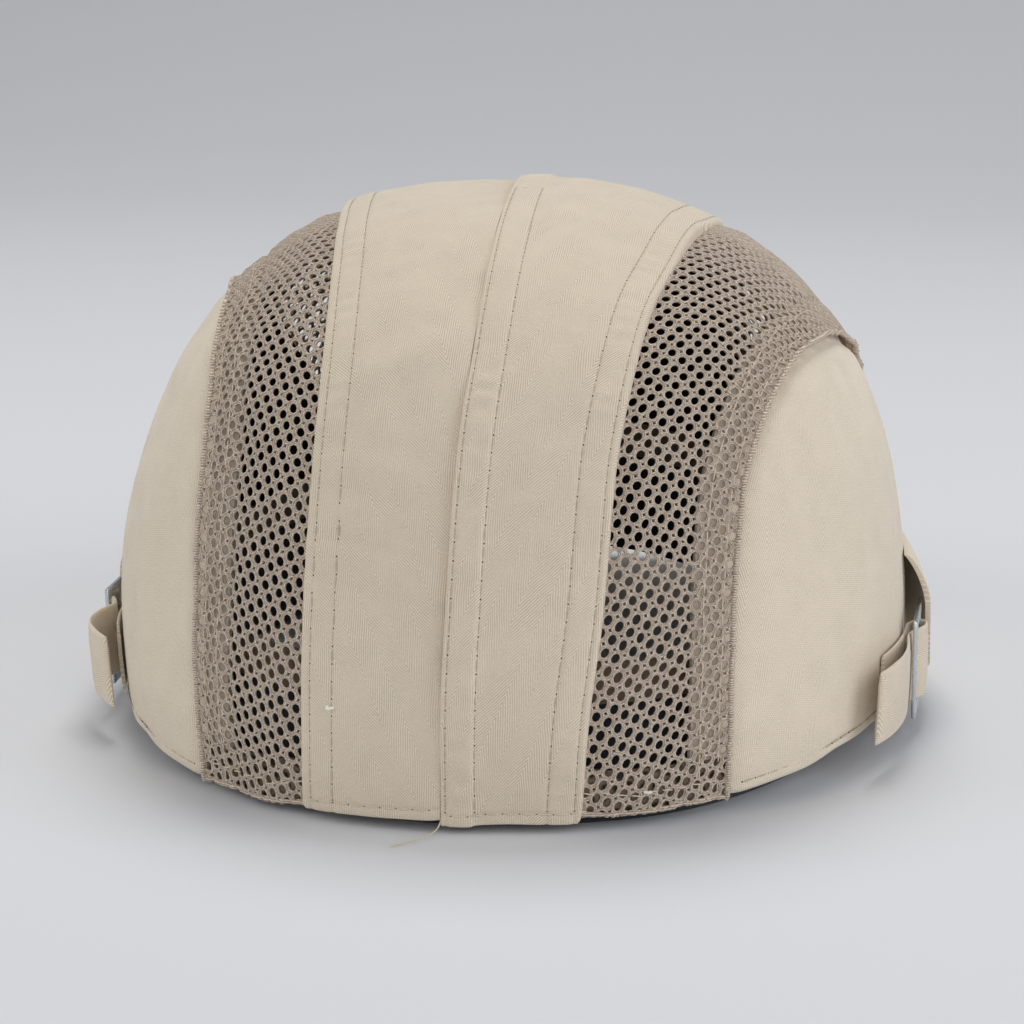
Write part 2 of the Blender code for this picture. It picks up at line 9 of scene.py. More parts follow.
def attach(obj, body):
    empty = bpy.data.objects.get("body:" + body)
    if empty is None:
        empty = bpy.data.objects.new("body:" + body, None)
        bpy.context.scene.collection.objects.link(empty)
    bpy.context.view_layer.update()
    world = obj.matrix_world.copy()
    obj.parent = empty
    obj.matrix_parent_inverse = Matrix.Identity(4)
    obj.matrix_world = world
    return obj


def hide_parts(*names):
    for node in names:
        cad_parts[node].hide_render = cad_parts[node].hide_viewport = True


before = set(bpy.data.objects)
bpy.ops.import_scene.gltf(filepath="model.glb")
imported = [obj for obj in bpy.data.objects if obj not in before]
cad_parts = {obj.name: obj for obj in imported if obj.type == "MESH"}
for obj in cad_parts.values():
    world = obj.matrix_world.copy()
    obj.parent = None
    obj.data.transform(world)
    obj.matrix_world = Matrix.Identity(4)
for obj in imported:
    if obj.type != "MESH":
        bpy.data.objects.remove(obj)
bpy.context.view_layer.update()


# Camera
# Stands behind the cap, a little to the wearer's right of its middle line and just above it,
# on a long lens.
CAMERA_TARGET = Vector((-0.0013, 0.0268, 0.055))
CAMERA_TURN, CAMERA_LIFT = math.radians(9), math.radians(12.5)
CAMERA_DISTANCE = 0.80


def placed(name, data):
    """A new object in the scene."""
    thing = bpy.data.objects.new(name, data)
    bpy.context.scene.collection.objects.link(thing)
    return thing


back = Vector((
    -math.sin(CAMERA_TURN) * math.cos(CAMERA_LIFT),
    math.cos(CAMERA_TURN) * math.cos(CAMERA_LIFT),
    math.sin(CAMERA_LIFT),
))
camera = placed("camera", bpy.data.cameras.new("camera"))
camera.data.sensor_width = 36.0
camera.data.lens = 122.3
camera.data.shift_x = -0.0059
camera.data.shift_y = -0.0361
camera.data.clip_start, camera.data.clip_end = 0.05, 20.0
camera.location = CAMERA_TARGET + back * CAMERA_DISTANCE
camera.rotation_mode = "QUATERNION"
camera.rotation_quaternion = (-back).to_track_quat("-Z", "Y")
bpy.context.scene.camera = camera
bpy.context.scene.view_settings.view_transform = "Standard"


# Centre strip
# Two panels of herringbone cotton twill over the middle of the crown. The wearer's right
# panel is folded under along the seam, lies over the left one and is topstitched to it.
# Each outer edge is folded under over the net and held by two rows of stitches.
CROWN_AXIS = np.array((-0.0013, 0.0268, 0.0))
CROWN_HALF_WIDTH, CROWN_BACK_REACH, CROWN_FRONT_REACH = 0.0912, 0.0990, 0.1330
CROWN_HEIGHT = 0.1226
SIDE_FULLNESS, BACK_FULLNESS, FRONT_FULLNESS = 2.52, 2.35, 1.75
CROWN_SQUARENESS = 0.30
SIDE_TUCK, BACK_TUCK, TUCK_REACH = 0.0011, 0.0030, 0.0405
HEM_DROP, SIDE_HEM_RISE, HEM_LEVEL_TURN = 0.0025, 0.0065, math.radians(24)
HEM_TILT = 0.0013
CORE = 0.0300
CLOTH, NET, GAP, LAP_CLEARANCE = 0.0012, 0.0010, 0.0004, 0.0008
BAND_FRONT_REACH = 0.0980
PEAK_INSET, PEAK_REACH, PEAK_BLUNTNESS = 0.0035, 0.1520, 2.25
PEAK_WALL, PEAK_LIFT, PEAK_DROOP = 0.0030, 0.0170, 0.0060
PEAK_CORNER, PEAK_CLEARANCE = math.radians(58), 0.0012
STRIP_HALF_WIDTH = 0.0300
STRIP_EDGES = (
    (0.00, 1.05, 0.04, 0.92), (0.07, 1.04, 0.02, 0.98), (0.13, 1.03, 0.00, 1.05),
    (0.19, 1.03, -0.01, 1.08), (0.24, 1.03, -0.02, 1.10), (0.29, 1.04, -0.04, 1.15),
    (0.36, 1.10, -0.05, 1.23), (0.44, 1.21, -0.03, 1.36), (0.50, 1.31, 0.00, 1.43),
    (0.70, 1.46, 0.00, 1.50), (1.00, 1.50, 0.00, 1.50),
)
DENTS = (
    (-84.0, 22.0, 0.87, 0.05, 0.008),
    (-62.0, 14.0, 0.70, 0.07, -0.010),
    (-81.0, 45.0, 0.25, 0.20, -0.010),
    (14.0, 30.0, 0.97, 0.10, 0.008),
    (75.0, 45.0, 0.97, 0.08, 0.024),
    (99.0, 45.0, 0.30, 0.26, 0.016),
)
MM = 0.001


def smooth_table(rows, column, way):
    """Value of one column at each way down the table's first column, smoothly joined."""
    table = np.array(rows, float)
    knots, values = table[:, 0], table[:, column]
    slopes = np.gradient(values, knots)
    index = np.clip(np.searchsorted(knots, way, side="right") - 1, 0, len(knots) - 2)
    step = knots[index + 1] - knots[index]
    t = np.clip((way - knots[index]) / step, 0.0, 1.0)
    start = values[index] * (2 * t**3 - 3 * t**2 + 1)
    end = values[index + 1] * (3 * t**2 - 2 * t**3)
    lead = step * slopes[index] * (t**3 - 2 * t**2 + t)
    trail = step * slopes[index + 1] * (t**3 - t**2)
    return start + end + lead + trail


def smooth_step(value):
    t = np.clip(value, 0.0, 1.0)
    return t * t * (3 - 2 * t)


def hump(value):
    """1 at nought, falling smoothly to nothing on both sides."""
    return np.exp(-value * value)


def rounding(share):
    """Fall of a rounded edge: 1 at the edge itself, and nothing from a share of 1 inward."""
    return 1 - np.sqrt(np.clip(1 - (1 - np.clip(share, 0, 1)) ** 2, 0, 1))


def plan_reach(azimuth, half_width, back, front, power=2.0):
    """Distance from the axis to a rounded plan outline in one direction."""
    sine, cosine = np.sin(azimuth), np.cos(azimuth)
    deep = np.where(cosine >= 0, back, front)
    return (np.abs(sine / half_width) ** power + np.abs(cosine / deep) ** power) ** (-1 / power)


def peak_edges(azimuth):
    """Plan reach of the peak's rear edge and of its rim."""
    inset = 2 * CLOTH + NET + 3 * LAP_CLEARANCE - PEAK_CLEARANCE
    half_width = CROWN_HALF_WIDTH - SIDE_TUCK - inset
    rear = plan_reach(azimuth, half_width, CROWN_BACK_REACH, BAND_FRONT_REACH + PEAK_CLEARANCE)
    rim_half_width = CROWN_HALF_WIDTH - PEAK_INSET
    rim = plan_reach(azimuth, rim_half_width, CROWN_BACK_REACH, PEAK_REACH, PEAK_BLUNTNESS)
    return rear, rim


def peak_under(x, forward):
    """Height of the peak's underside; forward is 0 at its rear edge and 1 at its rim."""
    corner_x = peak_edges(math.pi - PEAK_CORNER)[1] * math.sin(PEAK_CORNER)
    arch = np.clip(1 - (x / corner_x) ** 2, 0.0, 1.0)
    return (PEAK_LIFT - PEAK_DROOP * forward**2) * arch


def hem_height(azimuth, layer=0.0, tilt=HEM_TILT):
    """Height of the crown's lower edge: low at the back, lifted at the sides and on the peak."""
    turn = np.abs(np.arctan2(np.sin(azimuth), np.cos(azimuth)))
    lifted = (turn - HEM_LEVEL_TURN) / (math.pi / 2 - HEM_LEVEL_TURN)
    free = HEM_DROP + SIDE_HEM_RISE * smooth_step(lifted) + tilt * np.sin(azimuth)
    outline = plan_reach(turn, CROWN_HALF_WIDTH, CROWN_BACK_REACH, CROWN_FRONT_REACH)
    foot = outline + layer - CLOTH
    rear, rim = peak_edges(turn)
    forward = np.clip((foot - rear) / np.maximum(rim - rear, GAP), 0.0, 1.0)
    on_peak = peak_under(foot * np.sin(turn), forward) + PEAK_WALL + GAP
    blend = smooth_step((turn - math.pi / 2) / (math.pi / 2 - PEAK_CORNER))
    return free * (1 - blend) + on_peak * blend


def section(azimuth, share, layer):
    """Plan reach at the hem and fullness of the crown's section in one direction."""
    sine, cosine = np.sin(azimuth), np.cos(azimuth)
    slack = np.clip(1 - share * CROWN_HEIGHT / TUCK_REACH, 0.0, 1.0) ** 2
    grow = layer
    for turn, turn_spread, height, height_spread, dent in DENTS:
        across = (np.degrees(azimuth) - turn) / turn_spread
        along = (share - height) / height_spread
        grow = grow - dent * CROWN_HALF_WIDTH * np.exp(-(across**2) - along**2)
    half_width = CROWN_HALF_WIDTH + grow - SIDE_TUCK * slack
    back = CROWN_BACK_REACH + grow - BACK_TUCK * slack
    front = CROWN_FRONT_REACH + grow
    power = 2.0 + CROWN_SQUARENESS * np.clip(share, 0.0, 1.0)
    reach = plan_reach(azimuth, half_width, back, front, power)
    end_fullness = np.where(cosine >= 0, BACK_FULLNESS, FRONT_FULLNESS)
    return reach, SIDE_FULLNESS * sine**2 + end_fullness * cosine**2


def crown_point(azimuth, share, layer=0.0):
    """Point of the crown at an azimuth and a share of its height over the hem."""
    azimuth, share = np.broadcast_arrays(np.asarray(azimuth, float), np.asarray(share, float))
    reach, fullness = section(azimuth, share, layer)
    reach = reach * np.clip(1 - np.clip(share, 0, 1)**fullness, 0.0, 1.0) ** (1 / fullness)
    hem = hem_height(azimuth, layer)
    height = hem + share * (CROWN_HEIGHT + layer - hem)
    return np.stack((-reach * np.sin(azimuth), reach * np.cos(azimuth), height), axis=-1)


def meet_crown(start, direction, layer):
    """Where rays from inside meet the crown's form, grown by a layer."""
    direction = direction / np.linalg.norm(direction, axis=-1, keepdims=True)
    near = np.zeros(direction.shape[:-1])
    far = np.full(direction.shape[:-1], 2 * CROWN_FRONT_REACH)
    for _ in range(24):
        middle = (near + far) / 2
        points = start + direction * middle[..., None]
        azimuth = np.arctan2(-points[..., 0], points[..., 1])
        hem = hem_height(azimuth, layer)
        share = np.maximum((points[..., 2] - hem) / (CROWN_HEIGHT + layer - hem), 0.0)
        reach, fullness = section(azimuth, np.minimum(share, 1.0), layer)
        flat = np.hypot(points[..., 0], points[..., 1])
        outside = share**fullness + (flat / reach) ** fullness > 1.0
        far = np.where(outside, middle, far)
        near = np.where(outside, near, middle)
    return start + direction * near[..., None]


def onto_crown(points, layer):
    core = np.array((0.0, 0.0, CORE))
    return meet_crown(core, points - core, layer)


def strip_point(way, x, layer):
    """Point of the crown over the line x, from the back hem (way 0) to the front hem (1)."""
    way, x = np.broadcast_arrays(way, x)
    ends = []
    for end in (1, -1):
        deep = CROWN_BACK_REACH - BACK_TUCK if end > 0 else CROWN_FRONT_REACH
        y = end * deep * np.sqrt(1 - (x / (CROWN_HALF_WIDTH - SIDE_TUCK)) ** 2)
        angle = np.arctan2(hem_height(np.arctan2(-x, y)) - CORE, y)
        ends.append(np.where(angle < -math.pi / 2, angle + 2 * math.pi, angle))
    angle = ends[0] + (ends[1] - ends[0]) * way
    zero = np.zeros_like(angle)
    start = np.stack((x, zero, zero + CORE), axis=-1)
    return meet_crown(start, np.stack((zero, np.cos(angle), np.sin(angle)), axis=-1), layer)


def strip_edge(way, side, inward=0.0):
    """x of the centre strip's edge; side is 1 for the wearer's left, -1 for the right."""
    share = smooth_table(STRIP_EDGES, 1 if side > 0 else 3, way)
    return side * (share * STRIP_HALF_WIDTH - inward)


def strip_seam(way):
    return smooth_table(STRIP_EDGES, 2, way) * STRIP_HALF_WIDTH


def ripple(across, along, size, seed):
    """Smooth seeded waves of about plus or minus 1, over lengths of one size."""
    places = zip(np.ravel(across) / size, np.ravel(along) / size)
    waves = [noise.noise(Vector((a, b, seed * 7.3))) for a, b in places]
    return np.array(waves).reshape(np.shape(across)) * 1.6


def second_skin(sheet):
    """Close a sheet with a copy of itself, joined all round, and give the copy's corners."""
    whole = list(sheet.verts) + list(sheet.edges) + list(sheet.faces)
    backed = bmesh.ops.extrude_face_region(sheet, geom=whole, use_keep_orig=True)
    return [part for part in backed["geom"] if isinstance(part, bmesh.types.BMVert)]


def double_sheet(columns, rows):
    """Closed flat sheet over the unit square, its face at z 1 and its back at z 0."""
    sheet = bmesh.new()
    bmesh.ops.create_grid(sheet, x_segments=columns, y_segments=rows, size=0.5)
    bmesh.ops.translate(sheet, verts=sheet.verts, vec=(0.5, 0.5, 1.0))
    bmesh.ops.translate(sheet, verts=second_skin(sheet), vec=(0.0, 0.0, -1.0))
    bmesh.ops.recalc_face_normals(sheet, faces=sheet.faces)
    for face in sheet.faces:
        face.material_index = int(all(vertex.co.z < 0.5 for vertex in face.verts))
    return sheet


def laid(name, sheet, place, materials, sharp=50):
    """A piece from a flat pattern, each corner of it placed on the cap by a function."""
    mesh = bpy.data.meshes.new(name)
    sheet.to_mesh(mesh)
    sheet.free()
    flat = np.empty(len(mesh.vertices) * 3)
    mesh.vertices.foreach_get("co", flat)
    points, weave = place(*flat.reshape(-1, 3).T)
    mesh.vertices.foreach_set("co", np.ravel(points + CROWN_AXIS))
    threads = mesh.attributes.new("weave", "FLOAT_VECTOR", "POINT")
    threads.data.foreach_set("vector", np.ravel(weave))
    shape = bmesh.new()
    shape.from_mesh(mesh)
    if shape.calc_volume(signed=True) < 0:
        bmesh.ops.reverse_faces(shape, faces=shape.faces)
    shape.to_mesh(mesh)
    shape.free()
    for material in materials:
        mesh.materials.append(material)
    mesh.shade_smooth()
    mesh.set_sharp_from_angle(angle=math.radians(sharp))
    return placed(name, mesh)


def belongs(piece, slot, *nodes):
    """Fix a piece to the cap, in the place of the plain solids that it stands for."""
    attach(piece, "root")
    if nodes:
        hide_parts(*nodes)


def linear(colour):
    """Linear values of an sRGB hex colour."""
    shares = [int(colour[place : place + 2], 16) / 255 for place in (0, 2, 4)]
    return [s / 12.92 if s <= 0.04045 else ((s + 0.055) / 1.055) ** 2.4 for s in shares] + [1.0]


def connect(node, inputs):
    """Give a node its inputs: each is a value, or another node's output."""
    for socket, value in inputs.items():
        if isinstance(value, bpy.types.NodeSocket):
            node.id_data.links.new(value, node.inputs[socket])
        else:
            node.inputs[socket].default_value = value


def add_node(material, kind, inputs, **settings):
    """Add a node with its settings and its inputs."""
    made = material.node_tree.nodes.new("ShaderNode" + kind)
    for setting, value in settings.items():
        setattr(made, setting, value)
    connect(made, inputs)
    return made


def surface(name, roughness, **sockets):
    """A new material and its shader, with the values that are the same all over it."""
    material = bpy.data.materials.new(name)
    material.use_nodes = True
    shader = material.node_tree.nodes["Principled BSDF"]
    shader.inputs["Roughness"].default_value = roughness
    for socket, value in sockets.items():
        shader.inputs[socket.replace("_", " ")].default_value = value
    return material, shader


RIB_PITCH, BAND_WIDTH, PICK_PITCH, RIB_TURN = 0.47, 4.7, 0.43, math.radians(22.5)


def herringbone(name, ridge, furrow, lean):
    """Herringbone cotton twill, woven and washed: matt, with fine ribs 0.47 mm apart that
    turn every 4.7 mm, at 22.5 degrees to the line of the bands, worn faint in places."""
    material, shader = surface(name, 0.92, Sheen_Weight=0.25, Sheen_Roughness=0.5)
    threads = add_node(material, "Attribute", {}, attribute_name="weave")
    turned = add_node(material, "VectorRotate", {
        "Vector": threads.outputs["Vector"], "Angle": math.radians(lean),
    }, rotation_type="Z_AXIS")
    parts = add_node(material, "SeparateXYZ", {0: turned.outputs[0]})
    waver = add_node(material, "TexNoise", {"Vector": threads.outputs["Vector"], "Scale": 0.09})
    across = add_node(material, "Math", {
        0: waver.outputs["Fac"], 1: 1.4, 2: parts.outputs["X"],
    }, operation="MULTIPLY_ADD")
    zigzag = add_node(material, "Math", {
        0: across.outputs[0], 1: BAND_WIDTH,
    }, operation="PINGPONG")
    side_step = add_node(material, "Math", {
        0: zigzag.outputs[0], 1: math.cos(RIB_TURN) / RIB_PITCH * 2 * math.pi,
    }, operation="MULTIPLY")
    phase = add_node(material, "Math", {
        0: parts.outputs["Y"], 1: math.sin(RIB_TURN) / RIB_PITCH * 2 * math.pi,
        2: side_step.outputs[0],
    }, operation="MULTIPLY_ADD")
    wave = add_node(material, "Math", {0: phase.outputs[0]}, operation="SINE")
    yarns = add_node(material, "TexNoise", {
        "Vector": threads.outputs["Vector"], "Scale": 2.6, "Detail": 3.0, "Roughness": 0.7,
    })
    pick = add_node(material, "Math", {
        0: parts.outputs["Y"], 1: 2 * math.pi / PICK_PITCH,
    }, operation="MULTIPLY")
    picks = add_node(material, "Math", {0: pick.outputs[0]}, operation="SINE")
    wear = add_node(material, "TexNoise", {
        "Vector": threads.outputs["Vector"], "Scale": 0.13, "Detail": 2.0,
    })
    height = add_node(material, "MapRange", {
        "Value": wear.outputs["Fac"], 1: 0.36, 2: 0.62, 3: 0.13, 4: 0.36,
    })
    ribs = add_node(material, "Math", {
        0: wave.outputs[0], 1: height.outputs[0], 2: 0.36,
    }, operation="MULTIPLY_ADD")
    crossed = add_node(material, "Math", {
        0: picks.outputs[0], 1: 0.10, 2: ribs.outputs[0],
    }, operation="MULTIPLY_ADD")
    rib = add_node(material, "Math", {
        0: yarns.outputs["Fac"], 1: 0.55, 2: crossed.outputs[0],
    }, operation="MULTIPLY_ADD")
    woven = add_node(material, "MixRGB", {
        "Fac": rib.outputs[0], "Color1": linear(furrow), "Color2": linear(ridge),
    }, use_clamp=True)
    # Lighter and darker patches: partly the washed cloth's uneven tone, partly painted fold shade.
    tone_and_fold_shade = add_node(material, "TexNoise", {
        "Vector": threads.outputs["Vector"], "Scale": 0.16, "Detail": 5.0, "Roughness": 0.6,
    })
    shade = add_node(material, "MapRange", {"Value": tone_and_fold_shade.outputs["Fac"], 3: 0.93, 4: 1.06})
    colour = add_node(material, "VectorMath", {
        0: woven.outputs[0], "Scale": shade.outputs[0],
    }, operation="SCALE")
    bump = add_node(material, "Bump", {
        "Height": rib.outputs[0], "Strength": 0.55, "Distance": 0.00016,
    })
    connect(shader, {"Base Color": colour.outputs[0], "Normal": bump.outputs[0]})
    return material


def near_black_inner_faces():
    """Nearly black matt colour on the inside faces of the crown's cloth, faintly mottled."""
    material, shader = surface("near_black_inside", 1.0)
    fibres = add_node(material, "Attribute", {}, attribute_name="weave")
    fluff = add_node(material, "TexNoise", {
        "Vector": fibres.outputs["Vector"], "Scale": 1.5, "Detail": 4.0,
    })
    colour = add_node(material, "MixRGB", {
        "Fac": fluff.outputs["Fac"], "Color1": linear("181a1c"), "Color2": linear("26282a"),
    })
    connect(shader, {"Base Color": colour.outputs[0]})
    return material


twill_left = herringbone("cotton_twill_left", "e7dac5", "b2a38c", 22.0)
twill_right = herringbone("cotton_twill_right", "e7dac5", "b2a38c", -22.0)
backing = near_black_inner_faces()

# Distances from a folded edge, in millimetres: close together where the cloth rolls over
# the fold and where the stitch rows draw it in.
EDGE_COLUMNS = np.array((
    0.0, 0.12, 0.3, 0.5, 0.7, 0.95, 1.2, 1.5, 1.8, 2.1, 2.4, 2.8, 3.4, 4.2, 5.0, 5.6,
    6.1, 6.5, 6.8, 7.05, 7.3, 7.7, 8.2, 9.0,
))
HEM_ROWS = np.array((0.0, 0.12, 0.3, 0.55, 0.85, 1.2, 1.6, 2.0, 2.3, 2.6, 2.9, 3.3, 3.9))
WAY_PER_MM = 0.0031
STRIP_WAYS = np.concatenate((
    HEM_ROWS * WAY_PER_MM, np.linspace(0.0165, 0.46, 190), np.linspace(0.47, 1.0, 70),
))
SEAM_ROWS = (1.1, 7.1)
EDGE_ROWS = {1: (2.1, 7.1), -1: (1.5, 7.0)}
MIDDLE_COLUMNS = 12
HEM_STITCH = 2.5
STRIP_DROP = {1: 0.0, -1: 1.0}
middle_line = strip_point(STRIP_WAYS, 0.0, 0.0)
STRIP_LENGTHS = np.concatenate((
    [0.0], np.cumsum(np.linalg.norm(np.diff(middle_line, axis=0), axis=1)),
)) / MM


def strip_relief(side, from_seam, from_edge, way, length):
    """How far the strip's face stands over the crown's form, by its folds and stitch rows."""
    level = 0.75 * ripple(from_seam, length, 26.0, 3 + side)
    level += 0.22 * ripple(from_seam, length * 0.6, 9.0, 9 + side)
    fold = np.minimum(from_seam, from_edge) if side < 0 else from_edge
    level -= 0.75 * rounding(fold / 0.8)
    level -= 0.5 * rounding(length / 0.7)
    for row in EDGE_ROWS[side]:
        level -= 0.24 * hump((from_edge - row) / 0.5)
    level -= 0.22 * hump((length - HEM_STITCH) / 0.5)
    puckers = np.sin(2 * math.pi * (length / 6.4 + 0.9 * ripple(length, length, 17.0, 4)))
    if side < 0:
        level += 0.8 * (1 - smooth_step((from_seam / 6.6 - 0.9) / 0.4))
        for row in SEAM_ROWS:
            level -= 0.26 * hump((from_seam - row) / 0.5)
        level += 0.22 * puckers * hump((from_seam - 4.1) / 2.2) * (way < 0.30)
    else:
        waves = hump((from_edge - 12.0) / 13.0) * hump((length - 57.0) / 16.0)
        level -= 0.35 * hump(from_seam / 1.4)
        level += 0.55 * waves * np.sin(2 * math.pi * (length + 0.25 * from_edge) / 9.5)
        slack = hump((from_edge - 20.0) / 9.0) * hump((length - 100.0) / 10.0)
        level += 0.7 * slack * np.sin(2 * math.pi * (length - 0.5 * from_edge) / 21.0)
    level += 0.12 * puckers * hump((from_edge - 4.5) / 2.4)
    return level * MM


def strip_place(side):
    edge = EDGE_COLUMNS * MM

    def place(across, along, height):
        count = 2 * len(edge) + MIDDLE_COLUMNS
        column = np.rint(across * (count - 1)).astype(int)
        row = np.rint(along * (len(STRIP_WAYS) - 1)).astype(int)
        way, length = STRIP_WAYS[row], STRIP_LENGTHS[row]
        inner, outer = strip_seam(way) * side, strip_edge(way, side) * side
        from_inner = edge[np.clip(column, 0, len(edge) - 1)]
        from_outer = edge[np.clip(count - 1 - column, 0, len(edge) - 1)]
        first, last = inner + edge[-1], outer - edge[-1]
        part = (column - len(edge) + 1) / (MIDDLE_COLUMNS + 1)
        u = np.where(column < len(edge), inner + from_inner, first + (last - first) * part)
        u = np.where(column >= len(edge) + MIDDLE_COLUMNS, outer - from_outer, u)
        corner = np.clip(1.3 - (outer - u) / MM, 0.0, 1.3)
        lift = 1.3 - np.sqrt(1.3**2 - corner**2)
        way = way + (lift * hump(length / 3.0) - STRIP_DROP[side]) * WAY_PER_MM
        from_seam, from_edge = (u - inner) / MM, (outer - u) / MM
        layer = strip_relief(side, from_seam, from_edge, way, length) - (1 - height) * CLOTH
        points = strip_point(way, u * side, layer)
        return points, np.stack((u * side / MM, length, height), axis=-1)

    return place


for side, word in ((1, "left"), (-1, "right")):
    pattern = double_sheet(2 * len(EDGE_COLUMNS) + MIDDLE_COLUMNS - 1, len(STRIP_WAYS) - 1)
    twill = twill_left if side > 0 else twill_right
    panel = laid("centre_panel_" + word, pattern, strip_place(side), (twill, backing))
    belongs(panel, "twill", "centre_panel_" + word)

STITCH, THREAD_WIDTH = 3.8, 0.42
SEAM_SEWN = 168.0


def strip_spot(side, length, u):
    """Point on a panel's face at a length up it and a distance over it, and one 1 mm above."""
    way = np.interp(length, STRIP_LENGTHS, STRIP_WAYS)
    inner, outer = strip_seam(way) * side, strip_edge(way, side) * side
    layer = strip_relief(side, (u - inner) / MM, (outer - u) / MM, way, length)
    way = way - STRIP_DROP[side] * WAY_PER_MM
    return strip_point(way, u * side, layer), strip_point(way, u * side, layer + MM)


def sew(name, slot, material, lines, thickness, proud=0.0):
    """A row of stitches as one piece; a line has starts, ends and points above the starts."""
    thread = bmesh.new()
    for starts, ends, above in lines:
        for start, end, over in zip(starts, ends, above):
            start, end, over = Vector(start), Vector(end), Vector(over)
            run = end - start
            up = (over - start).normalized()
            across = up.cross(run).normalized()
            up = run.cross(across).normalized()
            middle = (start + end) / 2 + up * proud * MM + Vector(CROWN_AXIS)
            frame_of = Matrix((run * 0.5, across * thickness * MM / 2, up * thickness * MM / 2))
            shape = Matrix.Translation(middle) @ frame_of.transposed().to_4x4()
            bmesh.ops.create_uvsphere(
                thread, u_segments=8, v_segments=5, radius=1,
                matrix=shape @ Matrix.Rotation(math.pi / 2, 4, "Y"),
            )
    bmesh.ops.recalc_face_normals(thread, faces=thread.faces)
    mesh = bpy.data.meshes.new(name)
    thread.to_mesh(mesh)
    thread.free()
    mesh.materials.append(material)
    mesh.shade_smooth()
    belongs(placed(name, mesh), slot)


def spun_thread(name, colour, dark):
    """Spun polyester sewing thread: soft, faintly glossy, its ply showing as fine bands."""
    material, shader = surface(name, 0.7)
    place = add_node(material, "TexCoord", {})
    plies = add_node(material, "TexNoise", {
        "Vector": place.outputs["Object"], "Scale": 2200.0, "Detail": 2.0,
    })
    tint = add_node(material, "MixRGB", {
        "Fac": plies.outputs["Fac"], "Color1": linear(dark), "Color2": linear(colour),
    })
    connect(shader, {"Base Color": tint.outputs[0]})
    return material


strip_thread = spun_thread("sewing_thread_sand", "cbbda5", "a39580")
pale_thread = spun_thread("sewing_thread_pale", "e2d6c0", "b9ab93")
# Each needle hole is marked by a small dark blob of painted shade.
needle_hole_shade, shader = surface("needle_hole_shadow", 1.0)
connect(shader, {"Base Color": linear("4a4032")})

rows, holes = [], []
for side in (1, -1):
    lengths = np.arange(3.2, STRIP_LENGTHS[-1] - 4, STITCH)
    lines = [("edge", row) for row in EDGE_ROWS[side]]
    if side < 0:
        lines += [("seam", row) for row in SEAM_ROWS]
    for kind, row in lines:
        run = lengths if kind == "edge" or side > 0 else lengths[lengths < SEAM_SEWN]

        def spot(length, side=side, kind=kind, row=row):
            way = np.interp(length, STRIP_LENGTHS, STRIP_WAYS)
            inner, outer = strip_seam(way) * side, strip_edge(way, side) * side
            u = inner + row * MM if kind == "seam" else outer - row * MM
            return strip_spot(side, length, u)

        starts, above = spot(run + 0.35)
        ends, _ = spot(run + STITCH - 0.35)
        rows.append((starts, ends, above))
        first, over = spot(run - 0.26)
        second, _ = spot(run + 0.26)
        holes.append((first, second, over))
top = strip_seam(np.interp(SEAM_SEWN, STRIP_LENGTHS, STRIP_WAYS)) * -1
over = top + np.array((1.3, 4.3)) * MM
level = np.full_like(over, SEAM_SEWN)
starts, above = strip_spot(-1, level, over)
rows.append((starts, strip_spot(-1, level, over + 2.7 * MM)[0], above))
sew("strip_stitching", "twill", strip_thread, rows, THREAD_WIDTH, proud=-0.06)
sew("strip_needle_hole_shade", "twill", needle_hole_shade, holes, 0.36, proud=-0.06)

HEM_WAY, HEM_PITCH = 0.008, 3.5
hem_rows_of_stitches, hem_hole_shades = [], []
for side in (1, -1):
    seam = strip_seam(HEM_WAY)
    width = (strip_edge(HEM_WAY, side) - seam) * side / MM
    over = np.arange(2.4, width - 2.0, HEM_PITCH) * MM + seam * side
    level = np.full_like(over, HEM_STITCH)
    starts, above = strip_spot(side, level, over + 0.3 * MM)
    ends, _ = strip_spot(side, level, over + 3.0 * MM)
    hem_rows_of_stitches.append((starts, ends, above))
    first, lifted = strip_spot(side, level, over - 0.3 * MM)
    second, _ = strip_spot(side, level, over + 0.1 * MM)
    hem_hole_shades.append((first, second, lifted))
sew("strip_hem_stitching", "twill", pale_thread, hem_rows_of_stitches, 0.5, proud=0.02)
sew("strip_hem_needle_hole_shade", "twill", needle_hole_shade, hem_hole_shades, 0.36, proud=-0.06)


# Net panels
# Coarse knitted polyester mesh between the centre strip and the side panels, a single
# layer with large oval holes and a small hole at each crossing. It goes under the strip,
# and over the side panel's allowance, where its edge is turned and sewn down.
NET_TUCK_UNDER, SIDE_ALLOWANCE = 0.0060, 0.0090
SIDE_SEAM = (
    (37.0, 0.00, 0.00), (36.8, 0.18, 0.17), (37.5, 0.36, 0.35), (40.5, 0.53, 0.52),
    (46.0, 0.66, 0.62), (54.0, 0.75, 0.69), (66.0, 0.80, 0.73), (86.0, 0.80, 0.72),
    (104.0, 0.74, 0.66), (120.0, 0.62, 0.56), (134.0, 0.45, 0.42), (144.0, 0.25, 0.24),
    (149.0, 0.00, 0.00),
)
SEAM_STEPS = 240
SEAM_WAYS = np.linspace(0.0, 1.0, SEAM_STEPS + 1)
CELL_ACROSS, CELL_ALONG, WALE_LEAN = 2.55, 3.02, math.radians(22.5)
KNOT_HOLE, HOLE_CORNER = 0.36, 1.04
HOLE_ACROSS, HOLE_ALONG = 1.58, 2.16
LOOP_SHARES, LOOP_HEIGHTS = (0.0, 0.36, 1.0), (0.30, 0.44, 0.12)


def along_curve(places, stations, curve):
    """Points at places along a curve whose own points stand at the stations."""
    return np.stack([np.interp(places, stations, curve[:, axis]) for axis in range(3)], axis=-1)


def even_points(points, count):
    """The same curve through a number of points at equal distances."""
    steps = np.linalg.norm(np.diff(points, axis=0), axis=1)
    length = np.concatenate(([0.0], np.cumsum(steps)))
    places = np.linspace(0.0, length[-1], count)
    return along_curve(places, length, points)


